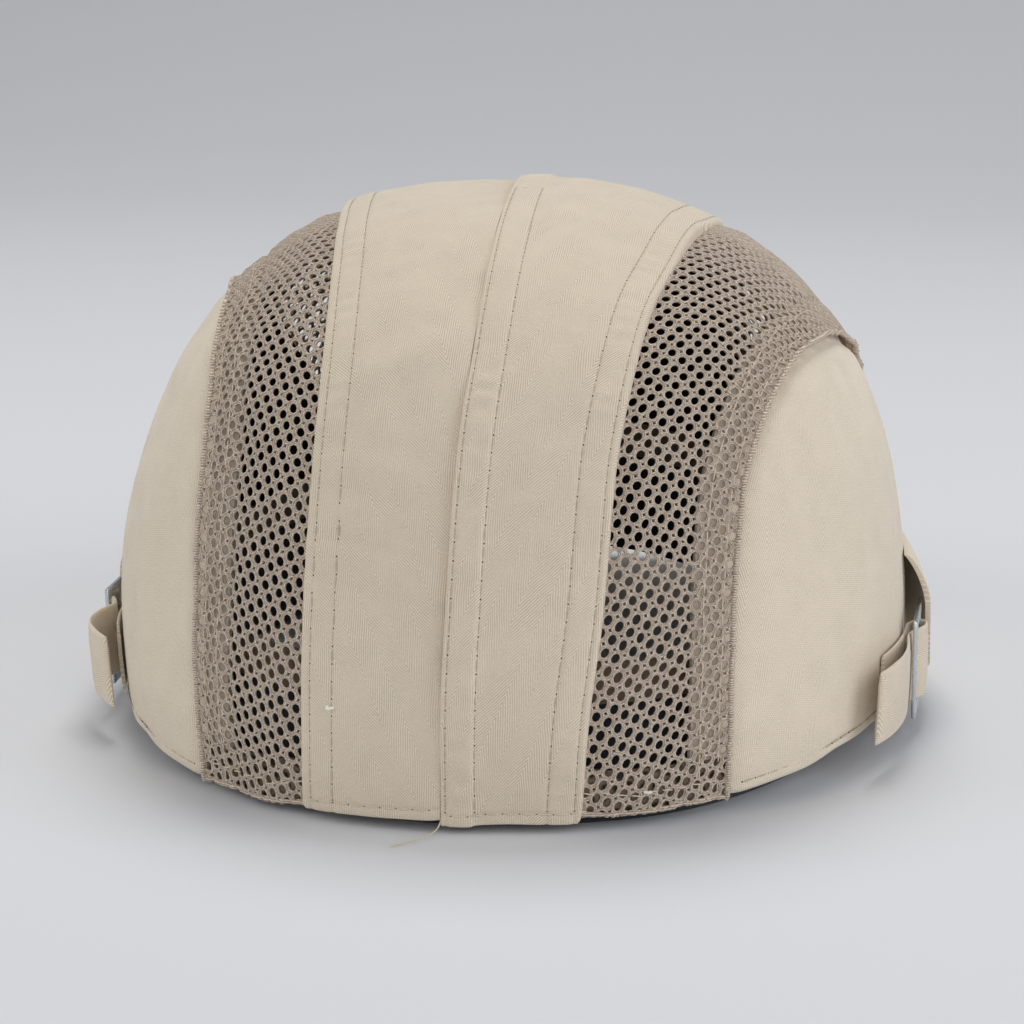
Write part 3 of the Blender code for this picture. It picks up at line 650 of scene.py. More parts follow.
def seam_curve(side, first, last, count):
    """Evenly spaced points along the side seam between two rows of its table."""
    column = 1 if side > 0 else 2
    rows = [(row, line[0], line[column]) for row, line in enumerate(SIDE_SEAM)]
    rank = np.linspace(first, last, 24 * count)
    azimuth = -side * np.radians(smooth_table(rows, 1, rank))
    share = np.clip(smooth_table(rows, 2, rank), 0.0, 1.0)
    return even_points(crown_point(azimuth, share), count)


def net_edges(side):
    """Points along both edges of a net panel, its widths between them, and its length."""
    near = strip_point(SEAM_WAYS, strip_edge(SEAM_WAYS, side, NET_TUCK_UNDER), 0.0)
    far = seam_curve(side, 0, len(SIDE_SEAM) - 1, SEAM_STEPS + 1)
    stages = near[:, None] + (far - near)[:, None] * np.linspace(0.0, 1.0, 9)[None, :, None]
    steps = np.linalg.norm(np.diff(onto_crown(stages, 0.0), axis=1), axis=2)
    lengths = [np.linalg.norm(np.diff(edge, axis=0), axis=1).sum() for edge in (near, far)]
    return near, far, steps.sum(axis=1) / MM, sum(lengths) / 2 / MM


def net_pattern(widths, length):
    """Flat net cut to a panel, in shares of its width and length. Its z is 1 between the
    loops and 2 at the edge of a hole, and the same below nought at the back."""
    sheet = bmesh.new()
    lean = Matrix.Rotation(-WALE_LEAN, 3, "Z")
    reach = length * math.sin(WALE_LEAN)
    across = math.ceil((reach + max(widths) * math.cos(WALE_LEAN)) / CELL_ACROSS) + 6
    along = math.ceil((max(widths) * math.sin(WALE_LEAN) + length) / CELL_ALONG) + 6
    bmesh.ops.create_grid(sheet, x_segments=across, y_segments=along, size=0.5)
    everything = sheet.verts
    bmesh.ops.translate(sheet, verts=everything, vec=(0.5, 0.5, 0.0))
    bmesh.ops.scale(sheet, verts=everything, vec=(across * CELL_ACROSS, along * CELL_ALONG, 1))
    bmesh.ops.translate(
        sheet, verts=everything, vec=(-reach - 3 * CELL_ACROSS, -3 * CELL_ALONG, 0.0),
    )
    bmesh.ops.rotate(sheet, verts=everything, cent=(0, 0, 0), matrix=lean)
    spare = 2.2 * CELL_ALONG
    outside = []
    for face in sheet.faces:
        centre = face.calc_center_median()
        width = np.interp(centre.y / length, SEAM_WAYS, widths)
        if not (-spare < centre.x < width + spare and -spare < centre.y < length + spare):
            outside.append(face)
    bmesh.ops.delete(sheet, geom=outside, context="FACES")
    bmesh.ops.bevel(
        sheet, geom=list(sheet.verts), offset=KNOT_HOLE, offset_type="OFFSET", segments=1,
        profile=0.5, affect="VERTICES", material=-1,
    )
    cells = [face for face in sheet.faces if len(face.verts) == 8]
    others = [face for face in sheet.faces if len(face.verts) != 8]
    bmesh.ops.delete(sheet, geom=others, context="FACES")
    outer, hole = [], []
    for corner in range(8):
        turn = math.radians(22.5 + 45 * corner)
        hole.append(Vector((
            HOLE_ACROSS / 2 * math.cos(turn), HOLE_ALONG / 2 * math.sin(turn), 0.0,
        )) * HOLE_CORNER)
        wide = corner % 4 in (0, 3)
        outer.append(Vector((
            math.copysign(CELL_ACROSS / 2 - (0 if wide else KNOT_HOLE), math.cos(turn)),
            math.copysign(CELL_ALONG / 2 - (KNOT_HOLE if wide else 0), math.sin(turn)), 0.0,
        )))
    for vertex in sheet.verts:
        vertex.co.z = 1.0
    for share in LOOP_SHARES[1:]:
        bmesh.ops.inset_individual(sheet, faces=cells, thickness=0.15, use_even_offset=True)
        for face in cells:
            centre = face.calc_center_median()
            straight = [lean.inverted() @ (vertex.co - centre) for vertex in face.verts]
            turns = [math.atan2(place.y, place.x) % (2 * math.pi) for place in straight]
            for corner, index in enumerate(sorted(range(8), key=turns.__getitem__)):
                place = centre + lean @ outer[corner].lerp(hole[corner], share)
                face.verts[index].co = (place.x, place.y, 1.0 + share)
    bmesh.ops.delete(sheet, geom=cells, context="FACES")
    for vertex in sheet.verts:
        width = np.interp(vertex.co.y / length, SEAM_WAYS, widths)
        vertex.co.x /= width
        vertex.co.y /= length
    for place, outward in (((0, 0, 0), (-1, 0, 0)), ((1, 0, 0), (1, 0, 0)),
                           ((0, 0, 0), (0, -1, 0)), ((0, 1, 0), (0, 1, 0))):
        whole = list(sheet.verts) + list(sheet.edges) + list(sheet.faces)
        bmesh.ops.bisect_plane(
            sheet, geom=whole, dist=1e-6, plane_co=place, plane_no=outward, clear_outer=True,
        )
    for vertex in second_skin(sheet):
        vertex.co.z = -vertex.co.z
    bmesh.ops.recalc_face_normals(sheet, faces=sheet.faces)
    return sheet


def net_level(side, from_seam, from_strip, from_hem):
    """Height of the net's middle over the crown's form, in millimetres."""
    level = -1.72 + 0.95 * smooth_step((from_strip - 1.0) / 7.0)
    level += 0.20 * (1 - smooth_step((from_seam - 8.0) / 3.0))
    level -= 0.55 * hump((from_seam - 10.6) / 0.9)
    level += 0.55 * hump(from_seam / 1.3)
    level -= 0.25 * hump((from_seam - 2.6) / 0.7)
    level -= 0.30 * hump((from_hem - 9.4) / 0.9) * smooth_step(from_seam / 8)
    level += 0.5 * (ripple(from_strip, from_hem, 13.0, 20 + side)) * smooth_step(from_strip / 14)
    return level


def between(near, far, way, share):
    """Points between a panel's two edges, at ways along it and shares across it."""
    start = along_curve(way, SEAM_WAYS, near)
    end = along_curve(way, SEAM_WAYS, far)
    return start + (end - start) * share[:, None]


def net_place(side, near, far, widths, length):
    def place(across, along, relief):
        width = np.interp(along, SEAM_WAYS, widths)
        wander = 0.16 * ripple(across * width, along * length, 3.4, 31)
        pulled = 0.16 * ripple(across * width, along * length, 3.7, 37)
        inside = smooth_step(8 * across) * smooth_step(8 * (1 - across))
        share = across + wander * inside / width
        way = np.clip(along + pulled * inside / length, 0.0, 1.0)
        from_hem = np.minimum(along, 1 - along) * length
        level = net_level(side, (1 - across) * width, across * width - 6.0, from_hem)
        loop = np.abs(relief) - 1
        stand = np.sign(relief) * np.interp(loop, LOOP_SHARES, LOOP_HEIGHTS)
        points = onto_crown(between(near, far, way, share), (level + stand) * MM)
        return points, np.stack((across * width, along * length, loop), axis=-1)

    return place


def knitted_net():
    """Knitted polyester mesh: every hole is ringed by two soft strands of looped yarn, with
    painted highlights on their crests and painted shade in the furrows between them."""
    material, shader = surface("knitted_mesh", 0.72, Sheen_Weight=0.15, Sheen_Roughness=0.4)
    threads = add_node(material, "Attribute", {}, attribute_name="weave")
    fibres = add_node(material, "TexNoise", {
        "Vector": threads.outputs["Vector"], "Scale": 1.5, "Detail": 5.0, "Roughness": 0.75,
    })
    loop = add_node(material, "SeparateXYZ", {0: threads.outputs["Vector"]})
    stray = add_node(material, "Math", {
        0: fibres.outputs["Fac"], 1: 0.9, 2: -0.45,
    }, operation="MULTIPLY_ADD")
    strand_place = add_node(material, "Math", {0: loop.outputs["Z"], 1: stray.outputs[0]})
    turns = add_node(material, "Math", {
        0: strand_place.outputs[0], 1: 2 * math.pi * 1.9,
    }, operation="MULTIPLY")
    strands = add_node(material, "Math", {0: turns.outputs[0]}, operation="COSINE")
    strand_relief_and_highlight = add_node(material, "Math", {
        0: strands.outputs[0], 1: -0.26, 2: fibres.outputs["Fac"],
    }, operation="MULTIPLY_ADD")
    tone = add_node(material, "MapRange", {"Value": strand_relief_and_highlight.outputs[0], 1: 0.15, 2: 0.75})
    # Painted highlight on the strands' crests, painted shade in the furrows between them.
    colour = add_node(material, "MixRGB", {
        "Fac": tone.outputs[0], "Color1": linear("887664"), "Color2": linear("ebdac7"),
    })
    bump = add_node(material, "Bump", {
        "Height": strand_relief_and_highlight.outputs[0], "Strength": 0.8, "Distance": 0.0003,
    })
    connect(shader, {"Base Color": colour.outputs[0], "Normal": bump.outputs[0]})
    return material


def turned_net():
    """The same mesh folded up inside the hem: seen through the outer holes, a taupe ground
    with its own holes painted as soft spots of dark shade 3 mm apart."""
    material, shader = surface("knitted_mesh_turned", 0.85)
    threads = add_node(material, "Attribute", {}, attribute_name="weave")
    spots = add_node(material, "TexVoronoi", {
        "Vector": threads.outputs["Vector"], "Scale": 0.36, "Randomness": 0.35,
    }, feature="F1")
    hole = add_node(material, "MapRange", {
        "Value": spots.outputs["Distance"], 1: 0.26, 2: 0.42,
    })
    # The spots are painted shade in the turned layer's holes.
    colour = add_node(material, "MixRGB", {
        "Fac": hole.outputs[0], "Color1": linear("2d2822"), "Color2": linear("80715e"),
    })
    connect(shader, {"Base Color": colour.outputs[0]})
    return material


def tube(name, slot, curve, material):
    """A thread's curve made a smooth mesh piece."""
    drawn = placed(name, curve)
    piece = bpy.data.objects.new(name, bpy.data.meshes.new_from_object(drawn))
    bpy.data.objects.remove(drawn)
    bpy.context.scene.collection.objects.link(piece)
    piece.data.materials.clear()
    piece.data.materials.append(material)
    piece.data.shade_smooth()
    belongs(piece, slot)
    return piece


mesh_yarn = knitted_net()
net_turning = turned_net()
for side, word in ((1, "left"), (-1, "right")):
    near, far, widths, length = net_edges(side)
    pattern = net_pattern(widths, length)
    place = net_place(side, near, far, widths, length)
    net = laid("net_panel_" + word, pattern, place, (mesh_yarn,), sharp=80)
    belongs(net, "net", "net_panel_" + word)

    def on_net(from_seam, along, proud, near=near, far=far, widths=widths, length=length,
               side=side):
        """Points over a net panel, at a distance from its seam in millimetres."""
        width = np.interp(along, SEAM_WAYS, widths)
        across = 1 - from_seam / width
        from_hem = np.minimum(along, 1 - along) * length
        level = net_level(side, from_seam, across * width - 6.0, from_hem)
        return onto_crown(between(near, far, along, across), (level + proud) * MM)

    stitches = []
    for from_seam in (2.6, 7.4):
        run = np.arange(2.0, length - 6.0, 3.6)
        inward = np.full_like(run, from_seam)
        sway = 0.25 * ripple(run, inward, 12.0, 50)
        starts = on_net(inward + sway, run / length, 0.35)
        ends = on_net(inward + sway, (run + 3.3) / length, 0.35)
        stitches.append((starts, ends, on_net(inward + sway, run / length, 1.35)))
    across_hem = np.arange(3.0, widths[0] - 7.0, 3.4)
    level_hem = 4.6 + 0.7 * ripple(across_hem, across_hem, 7.0, 51)
    starts = on_net(across_hem, level_hem / length, 0.4)
    ends = on_net(across_hem + 2.7, (level_hem + 0.4) / length, 0.4)
    stitches.append((starts, ends, on_net(across_hem, level_hem / length, 1.4)))
    sew("net_seam_stitching_" + word, "net", pale_thread, stitches, 0.34)

    run = np.linspace(0.0, 1.0, 420)
    crimp = 0.16 * ripple(run * length, run, 2.1, 55) + 0.1
    along_seam = on_net(np.full_like(run, 0.15) + crimp * 0.8, run, 0.12 + crimp)
    hem_across = np.linspace(0.0, 1.0, 60)[:-1]
    hem_width = widths[0]
    at_hem = on_net(hem_width * (1 - hem_across), np.full_like(hem_across, 0.0016), 0.0)
    path = np.concatenate((at_hem, along_seam)) + CROWN_AXIS
    roll = bpy.data.curves.new("net_turned_edge_" + word, "CURVE")
    roll.dimensions = "3D"
    roll.bevel_depth = 0.58 * MM
    roll.bevel_resolution = 1
    roll.use_fill_caps = True
    line = roll.splines.new("POLY")
    line.points.add(len(path) - 1)
    swell = 1 + 0.45 * ripple(np.arange(len(path)) * 0.8, np.zeros(len(path)), 1.3, 60)
    line.points.foreach_set("co", np.ravel(np.column_stack((path, np.ones(len(path))))))
    line.points.foreach_set("radius", swell)
    edge = tube("net_turned_edge_" + word, "net", roll, mesh_yarn)
    threads = edge.data.attributes.new("weave", "FLOAT_VECTOR", "POINT")
    spots = np.array([vertex.co[:] for vertex in edge.data.vertices]) / MM
    threads.data.foreach_set("vector", np.ravel(spots))

    facing = double_sheet(40, 8)

    def facing_place(across, along, height, near=near, far=far, widths=widths, length=length,
                     side=side):
        share = 0.06 + 0.93 * across
        up = 0.3 + along * 9.4
        from_seam = (1 - share) * widths[0]
        level = net_level(side, from_seam, share * widths[0] - 6.0, up) - 0.75
        layer = (level - (1 - height) * 0.4) * MM
        points = onto_crown(between(near, far, up / length, share), layer)
        return points, np.stack((share * widths[0], up, height), axis=-1)

    turning = laid("net_hem_turning_" + word, facing, facing_place, (net_turning,))
    belongs(turning, "net")


# Side panels
# Plain herringbone twill, cut with an allowance that runs on under the net. The hem is
# turned up and stitched.
SEAM_REAR_CORNER, SEAM_FRONT_CORNER = 4, 10
SIDE_COLUMNS, SIDE_ROWS = 110, 70
SIDE_LEVEL, HEM_GROOVE, SIDE_HEM_STITCH, STITCHED_TO = -0.6, 0.22, 2.4, 118.0


def push_out(points, distance, side):
    """A seam's points moved over the crown, away from the side panel."""
    along = np.gradient(points, axis=0)
    across = np.cross(along, points - np.array((0.0, 0.0, CORE))) * side
    across = across / np.linalg.norm(across, axis=1, keepdims=True)
    pushed = onto_crown(points + across * distance, 0.0)
    ends = pushed[[0, -1]]
    pushed[[0, -1]] = crown_point(np.arctan2(-ends[:, 0], ends[:, 1]), 0.0)
    return pushed


def side_place(side):
    last = len(SIDE_SEAM) - 1
    rim = push_out(seam_curve(side, 0, last, SEAM_STEPS + 1), SIDE_ALLOWANCE, side)
    rear_end = round(SEAM_STEPS * SEAM_REAR_CORNER / last)
    front_end = round(SEAM_STEPS * SEAM_FRONT_CORNER / last)
    rear = even_points(rim[: rear_end + 1], SIDE_ROWS + 1)
    front = even_points(rim[front_end:][::-1], SIDE_ROWS + 1)
    top = even_points(rim[rear_end : front_end + 1], SIDE_COLUMNS + 1)
    turns = np.arctan2(side * rim[(0, -1), 0], rim[(0, -1), 1])
    hem = crown_point(-side * np.linspace(turns[0], turns[1], SIDE_COLUMNS + 1), 0.0)
    hem_rows = np.concatenate((HEM_ROWS[:-1] / 60, np.linspace(3.9 / 60, 1.0, SIDE_ROWS - 11)))

    def place(across, along, height):
        column = np.rint(across * SIDE_COLUMNS).astype(int)
        row = np.rint(along * SIDE_ROWS).astype(int)
        a, b = across[:, None], hem_rows[row][:, None]
        rank = hem_rows[row] * SIDE_ROWS
        rears = along_curve(rank, range(SIDE_ROWS + 1), rear)
        fronts = along_curve(rank, range(SIDE_ROWS + 1), front)
        ruled = (1 - b) * hem[column] + b * top[column] + (1 - a) * rears + a * fronts
        low_corners = (1 - b) * ((1 - a) * hem[0] + a * hem[-1])
        high_corners = b * ((1 - a) * top[0] + a * top[-1])
        points = onto_crown(ruled - low_corners - high_corners, 0.0)
        azimuth = np.arctan2(-points[:, 0], points[:, 1])
        from_hem = (points[:, 2] - hem_height(azimuth)) / MM
        nearest = np.linalg.norm(points[:, None] - rim[None], axis=2).min(axis=1)
        inside = (nearest - SIDE_ALLOWANCE) / MM
        girth, rise = np.degrees(azimuth) * 1.6, points[:, 2] / MM
        level = -1.95 + 1.35 * smooth_step((inside + 0.6) / 5.0)
        level += 0.4 * ripple(girth, rise / 4, 11.0, 40 + side) * smooth_step(inside / 10)
        level += 0.15 * ripple(girth, rise, 5.0, 44 + side) * hump((inside - 4) / 4)
        level -= HEM_GROOVE * hump((from_hem - SIDE_HEM_STITCH) / 0.5)
        level -= 0.5 * rounding(from_hem / 0.7)
        layer = level * MM - (1 - height) * CLOTH
        laid_points = onto_crown(points, layer)
        at_hem = row == 0
        foot = crown_point(azimuth, 0.0, layer)
        laid_points = np.where(at_hem[:, None], foot, laid_points)
        return laid_points, np.stack((-girth, rise, height), axis=-1)

    return place


# The wearer's right panel is a touch lighter than the left: painted light for its brighter side.
twill_side = {
    1: herringbone("cotton_twill_side_left", "ece0cb", "b7a891", 12.0),
    -1: herringbone("cotton_twill_side_right_painted_lighter", "efe3cf", "b9aa93", -12.0),
}
for side, word in ((1, "left"), (-1, "right")):
    pattern = double_sheet(SIDE_COLUMNS, SIDE_ROWS)
    panel = laid("side_panel_" + word, pattern, side_place(side), (twill_side[side], backing))
    belongs(panel, "twill", "side_panel_" + word)

# The side hem's needle holes are dark blobs of painted shade too.
hem_stitches, hem_prick_shades = [], []
for side in (1, -1):

    def hem_line(azimuth, proud, side=side):
        layer = (SIDE_LEVEL - HEM_GROOVE + proud) * MM
        azimuth = -side * np.radians(azimuth)
        rise = SIDE_HEM_STITCH * MM / (CROWN_HEIGHT - hem_height(azimuth, layer))
        return crown_point(azimuth, rise, layer)

    run = np.arange(SIDE_SEAM[0][0] + 2.5, STITCHED_TO, 2.2)
    hem_stitches.append((
        hem_line(run + 0.2, 0.12), hem_line(run + 1.95, 0.12), hem_line(run + 0.2, 1.1),
    ))
    hem_prick_shades.append((hem_line(run - 0.12, 0.06), hem_line(run + 0.12, 0.06), hem_line(run, 1.1)))
sew("side_hem_stitching", "twill", strip_thread, hem_stitches, 0.42)
sew("side_hem_needle_hole_shade", "twill", needle_hole_shade, hem_prick_shades, 0.36)


# Sweatband
# Dark cotton band turned up inside the head opening. Its top is bound in taupe tape, and
# its folded lower edge shows as a dark line under the hem.
BAND_WALL, BAND_HEIGHT, BAND_LEAN = 0.0020, 0.0340, 0.0012
BAND_TURNS, BAND_ROWS = 192, 16
BINDING_HEIGHT = 0.0095


def woven_band(name, colour, dark, scale):
    """Plain-woven cotton tape: matt, with a fine square weave of about 0.5 mm."""
    material, shader = surface(name, 0.88, Sheen_Weight=0.2)
    threads = add_node(material, "Attribute", {}, attribute_name="weave")
    parts = add_node(material, "SeparateXYZ", {0: threads.outputs["Vector"]})
    waves = []
    for part in ("X", "Y"):
        phase = add_node(material, "Math", {0: parts.outputs[part], 1: scale}, operation="MULTIPLY")
        waves.append(add_node(material, "Math", {0: phase.outputs[0]}, operation="SINE"))
    weave = add_node(material, "Math", {
        0: waves[0].outputs[0], 1: waves[1].outputs[0],
    }, operation="MULTIPLY")
    lint = add_node(material, "TexNoise", {
        "Vector": threads.outputs["Vector"], "Scale": 0.9, "Detail": 4.0,
    })
    tone = add_node(material, "Math", {
        0: weave.outputs[0], 1: 0.25, 2: lint.outputs["Fac"],
    }, operation="MULTIPLY_ADD")
    shade = add_node(material, "MixRGB", {
        "Fac": tone.outputs[0], "Color1": linear(dark), "Color2": linear(colour),
    }, use_clamp=True)
    bump = add_node(material, "Bump", {
        "Height": weave.outputs[0], "Strength": 0.4, "Distance": 0.0002,
    })
    connect(shader, {"Base Color": shade.outputs[0], "Normal": bump.outputs[0]})
    return material


band_cloth = woven_band("cotton_band_navy", "2b2e38", "14161c", 12.0)
binding_tape = woven_band("cotton_tape_taupe", "94806a", "6e5e4c", 12.0)
ring = bmesh.new()
bmesh.ops.create_cone(
    ring, cap_ends=False, segments=BAND_TURNS, radius1=1.0, radius2=1.0, depth=1.0,
)
bmesh.ops.translate(ring, verts=ring.verts, vec=(0.0, 0.0, 0.5))
upright = [edge for edge in ring.edges if abs(edge.verts[0].co.z - edge.verts[1].co.z) > 0.5]
bmesh.ops.subdivide_edges(ring, edges=upright, cuts=BAND_ROWS - 1, use_grid_fill=True)
for vertex in second_skin(ring):
    vertex.co.x *= 0.5
    vertex.co.y *= 0.5
bmesh.ops.recalc_face_normals(ring, faces=ring.faces)
for face in ring.faces:
    face.material_index = int(face.calc_center_median().z > 1 - BINDING_HEIGHT / BAND_HEIGHT)


def band_place(across, along, height):
    azimuth = np.arctan2(-across, along)
    inner = np.hypot(across, along) < 0.75
    inset = 2 * CLOTH + NET + 3 * LAP_CLEARANCE
    lean = inset + BAND_LEAN * height
    half_width = CROWN_HALF_WIDTH - SIDE_TUCK - lean
    back = CROWN_BACK_REACH - BACK_TUCK - lean
    reach = plan_reach(azimuth, half_width, back, BAND_FRONT_REACH - lean + inset)
    bound = hump((height * BAND_HEIGHT - (BAND_HEIGHT - BINDING_HEIGHT)) / 0.0012)
    edge = np.minimum(height, 1 - height) * BAND_HEIGHT / BAND_WALL * 2
    round_off = BAND_WALL / 2 * rounding(edge)
    reach = reach - np.where(inner, BAND_WALL - round_off, round_off) - bound * 0.0003
    z = hem_height(azimuth, tilt=0.0) - HEM_DROP + BAND_HEIGHT * height
    points = np.stack((-reach * np.sin(azimuth), reach * np.cos(azimuth), z), axis=-1)
    return points, np.stack((azimuth * 90, height * BAND_HEIGHT / MM, inner), axis=-1)


band = laid("sweatband", ring, band_place, (band_cloth, binding_tape))
belongs(band, "sweatband", "sweatband")


# Peak
# Stiff board covered in the same twill, arched to the forehead and sewn between the crown
# and the sweatband. It is hidden in the photo, so it is finished plainly.
PEAK_COLUMNS, PEAK_ROWS = 72, 40
PEAK_ROUND, PEAK_STITCHES = 1.5, (5.0, 11.0)


def peak_place(across, along, height):
    turn = math.pi + PEAK_CORNER * (2 * across - 1)
    rear, rim = peak_edges(turn)
    forward = 1 - (1 - along) ** 1.4
    reach = rear + (rim - rear) * forward
    x = -reach * np.sin(turn)
    under = peak_under(x, forward)
    from_rim = np.minimum((rim - reach) / MM, (1 - np.abs(2 * across - 1)) * 90)
    round_off = PEAK_ROUND * rounding(from_rim / PEAK_ROUND)
    stitch = sum(0.18 * hump((from_rim - row) / 0.6) for row in PEAK_STITCHES)
    z = np.where(height > 0.5, PEAK_WALL - (round_off + stitch) * MM, round_off * MM) + under
    points = np.stack((x, reach * np.cos(turn), z), axis=-1)
    return points, np.stack((x / MM, -reach / MM, height), axis=-1)


peak_twill = herringbone("cotton_twill_peak", "e7dac5", "b2a38c", 0.0)
peak = laid("peak", double_sheet(PEAK_COLUMNS, PEAK_ROWS), peak_place, (peak_twill,))
peak.data.polygons.foreach_set("material_index", [0] * len(peak.data.polygons))
belongs(peak, "peak_twill", "peak")


# Adjusters
# One on each side: a twill strap sewn to the side panel goes round the middle bar of a steel
# slide buckle and back under its rear bar, its folded end hanging free. A doubled twill tab
# sewn on in front holds the buckle.
STRAP_WIDTH, STRAP_WALL, STRAP_HEIGHT = 0.0165, 0.0010, 0.0157
STRAP_ANCHOR, STRAP_CLEARANCE, SIDE_RECESS = 0.0300, 0.00030, 0.0006
STAND_OFF = {1: 0.0062, -1: 0.0050}
TAIL = {1: (0.0415, 0.0045, 0.0035), -1: (0.0440, 0.0063, 0.0006)}
FLARE = {1: 0.0055, -1: 0.0043}
BUCKLE_BAR, BUCKLE_SLOT, BUCKLE_WALL, BUCKLE_PLACE = 0.0026, 0.0080, 0.0010, 0.0120
BUCKLE_CLEARANCE, BUCKLE_LIFT = 0.00045, 0.0002
TAB_WALL, TAB_HEIGHT, TAB_TOP = 0.0012, 0.0260, 0.0375
TAB_REAR, TAB_LENGTH, TAB_FOLD = -0.0080, 0.0440, 0.0120
RUN_STEPS, TURN_STEPS, SLOT_STEPS, TAIL_STEPS = 7, 5, 3, 5


def beside_crown(y, height, stand_off, side):
    """Point at a distance from the side panel's face, on the level of the strap."""
    y, height, stand_off = np.broadcast_arrays(y, height, stand_off)
    zero = np.zeros(y.shape)
    start = np.stack((zero, y, height), axis=-1)
    face = meet_crown(start, np.stack((zero + side, zero, zero), axis=-1), -SIDE_RECESS)
    face[..., 0] += side * stand_off
    return face


def strap_path(tail, end, arch, stand_off):
    """Rows of y and stand-off: sewn end, round the middle bar, under the rear bar, to the tail."""
    wrap = (BUCKLE_WALL + STRAP_WALL) / 2 + BUCKLE_CLEARANCE
    under = stand_off - 2 * wrap
    inner = STRAP_WALL / 2 + STRAP_CLEARANCE
    bar_rear = BUCKLE_PLACE - BUCKLE_BAR - BUCKLE_SLOT
    bar_front = bar_rear - BUCKLE_BAR
    route = []
    for step in range(RUN_STEPS + 1):
        route.append((STRAP_ANCHOR + (bar_rear - STRAP_ANCHOR) * step / RUN_STEPS, inner))
    for step in range(TURN_STEPS + 1):
        angle = math.pi * step / TURN_STEPS
        route.append((
            bar_front - wrap * math.sin(angle),
            stand_off - wrap - wrap * math.cos(angle),
        ))
    for step in range(SLOT_STEPS + 1):
        part = step / SLOT_STEPS
        route.append((
            bar_rear + BUCKLE_SLOT * part,
            stand_off - 2 * wrap * smooth_step(part),
        ))
    for step in range(TAIL_STEPS + 1):
        part = step / TAIL_STEPS
        route.append((
            BUCKLE_PLACE + (tail - BUCKLE_PLACE) * part,
            under + (end - under) * part + arch * math.sin(math.pi * part),
        ))
    return np.array(route)


def strap_place(side, route):
    knots = np.column_stack((np.arange(len(route)), route))

    def place(across, along, height):
        rank = across * (len(route) - 1)
        y, off = smooth_table(knots, 1, rank), smooth_table(knots, 2, rank)
        ahead = np.clip(rank + 0.05, 0, len(route) - 1)
        behind = np.clip(rank - 0.05, 0, len(route) - 1)
        run_y = smooth_table(knots, 1, ahead) - smooth_table(knots, 1, behind)
        run_off = smooth_table(knots, 2, ahead) - smooth_table(knots, 2, behind)
        length = np.hypot(run_y, run_off)
        width = np.sin((along - 0.5) * math.pi) / 2
        squash = (1 - np.abs(2 * width) ** 8) ** 0.5 * 0.92 + 0.08
        folded = smooth_step((rank - len(route) + 3.4) / 1.2)
        end = np.clip((len(route) - 1 - rank) / 0.16, 0.0, 1.0)
        end_round = np.sqrt(np.clip(1 - (1 - end) ** 2, 0.05, 1))
        wall = STRAP_WALL * (0.9 + 0.9 * folded) * squash * end_round
        seam = 0.14 * MM * hump((np.abs(width) - 0.40) / 0.025)
        offset = (height - 0.5) * (wall - 2 * seam)
        off = off + offset * run_y / length
        y = y - offset * run_off / length
        level = STRAP_HEIGHT + STRAP_WIDTH * width
        points = beside_crown(y, level, off, side)
        girth = np.interp(rank, knots[:, 0], np.concatenate((
            [0.0], np.cumsum(np.hypot(*np.diff(route, axis=0).T)),
        )))
        return points, np.stack((girth / MM, level / MM, height), axis=-1)

    return place


def steel():
    """Nickel-plated pressed steel: bright, smooth, with faint fine scratches from handling."""
    material, shader = surface("nickel_plated_steel", 0.24, Metallic=1.0)
    place = add_node(material, "TexCoord", {})
    marks = add_node(material, "TexNoise", {
        "Vector": place.outputs["Object"], "Scale": 420.0, "Detail": 4.0, "Roughness": 0.7,
    })
    rough = add_node(material, "MapRange", {"Value": marks.outputs["Fac"], 3: 0.16, 4: 0.36})
    tint = add_node(material, "MixRGB", {
        "Fac": marks.outputs["Fac"], "Color1": linear("b9bfc6"), "Color2": linear("d9dde2"),
    })
    connect(shader, {"Roughness": rough.outputs[0], "Base Color": tint.outputs[0]})
    return material


def tab_place(side):
    def place(across, along, height):
        back_share = np.sin(across * math.pi / 2)
        y = TAB_REAR - TAB_LENGTH * (1 - back_share)
        level = TAB_TOP - TAB_HEIGHT * (1 - along)
        fold = np.sin(np.clip((TAB_TOP - level) / TAB_FOLD, 0.0, 1.0) * math.pi / 2) ** 0.7
        flare = FLARE[side] * np.sin(back_share * math.pi / 2) * fold
        sag = 0.25 * MM * ripple(across * 30, along * 22, 9.0, 70 + side) * fold * back_share
        edge = np.minimum.reduce((
            along * TAB_HEIGHT, (1 - across) * TAB_LENGTH * 0.4, (1 - along) * TAB_HEIGHT,
        )) / MM
        groove = 0.16 * hump((edge - 2.0) / 0.5)
        pinch = 0.5 * rounding(edge / 0.5)
        wall = TAB_WALL - (pinch * 0.8 + groove) * MM
        stand = TAB_WALL / 2 + STRAP_CLEARANCE + flare + sag + (height - 0.5) * wall
        points = beside_crown(y, level, stand, side)
        return points, np.stack((y / MM, level / MM, height), axis=-1)

    return place


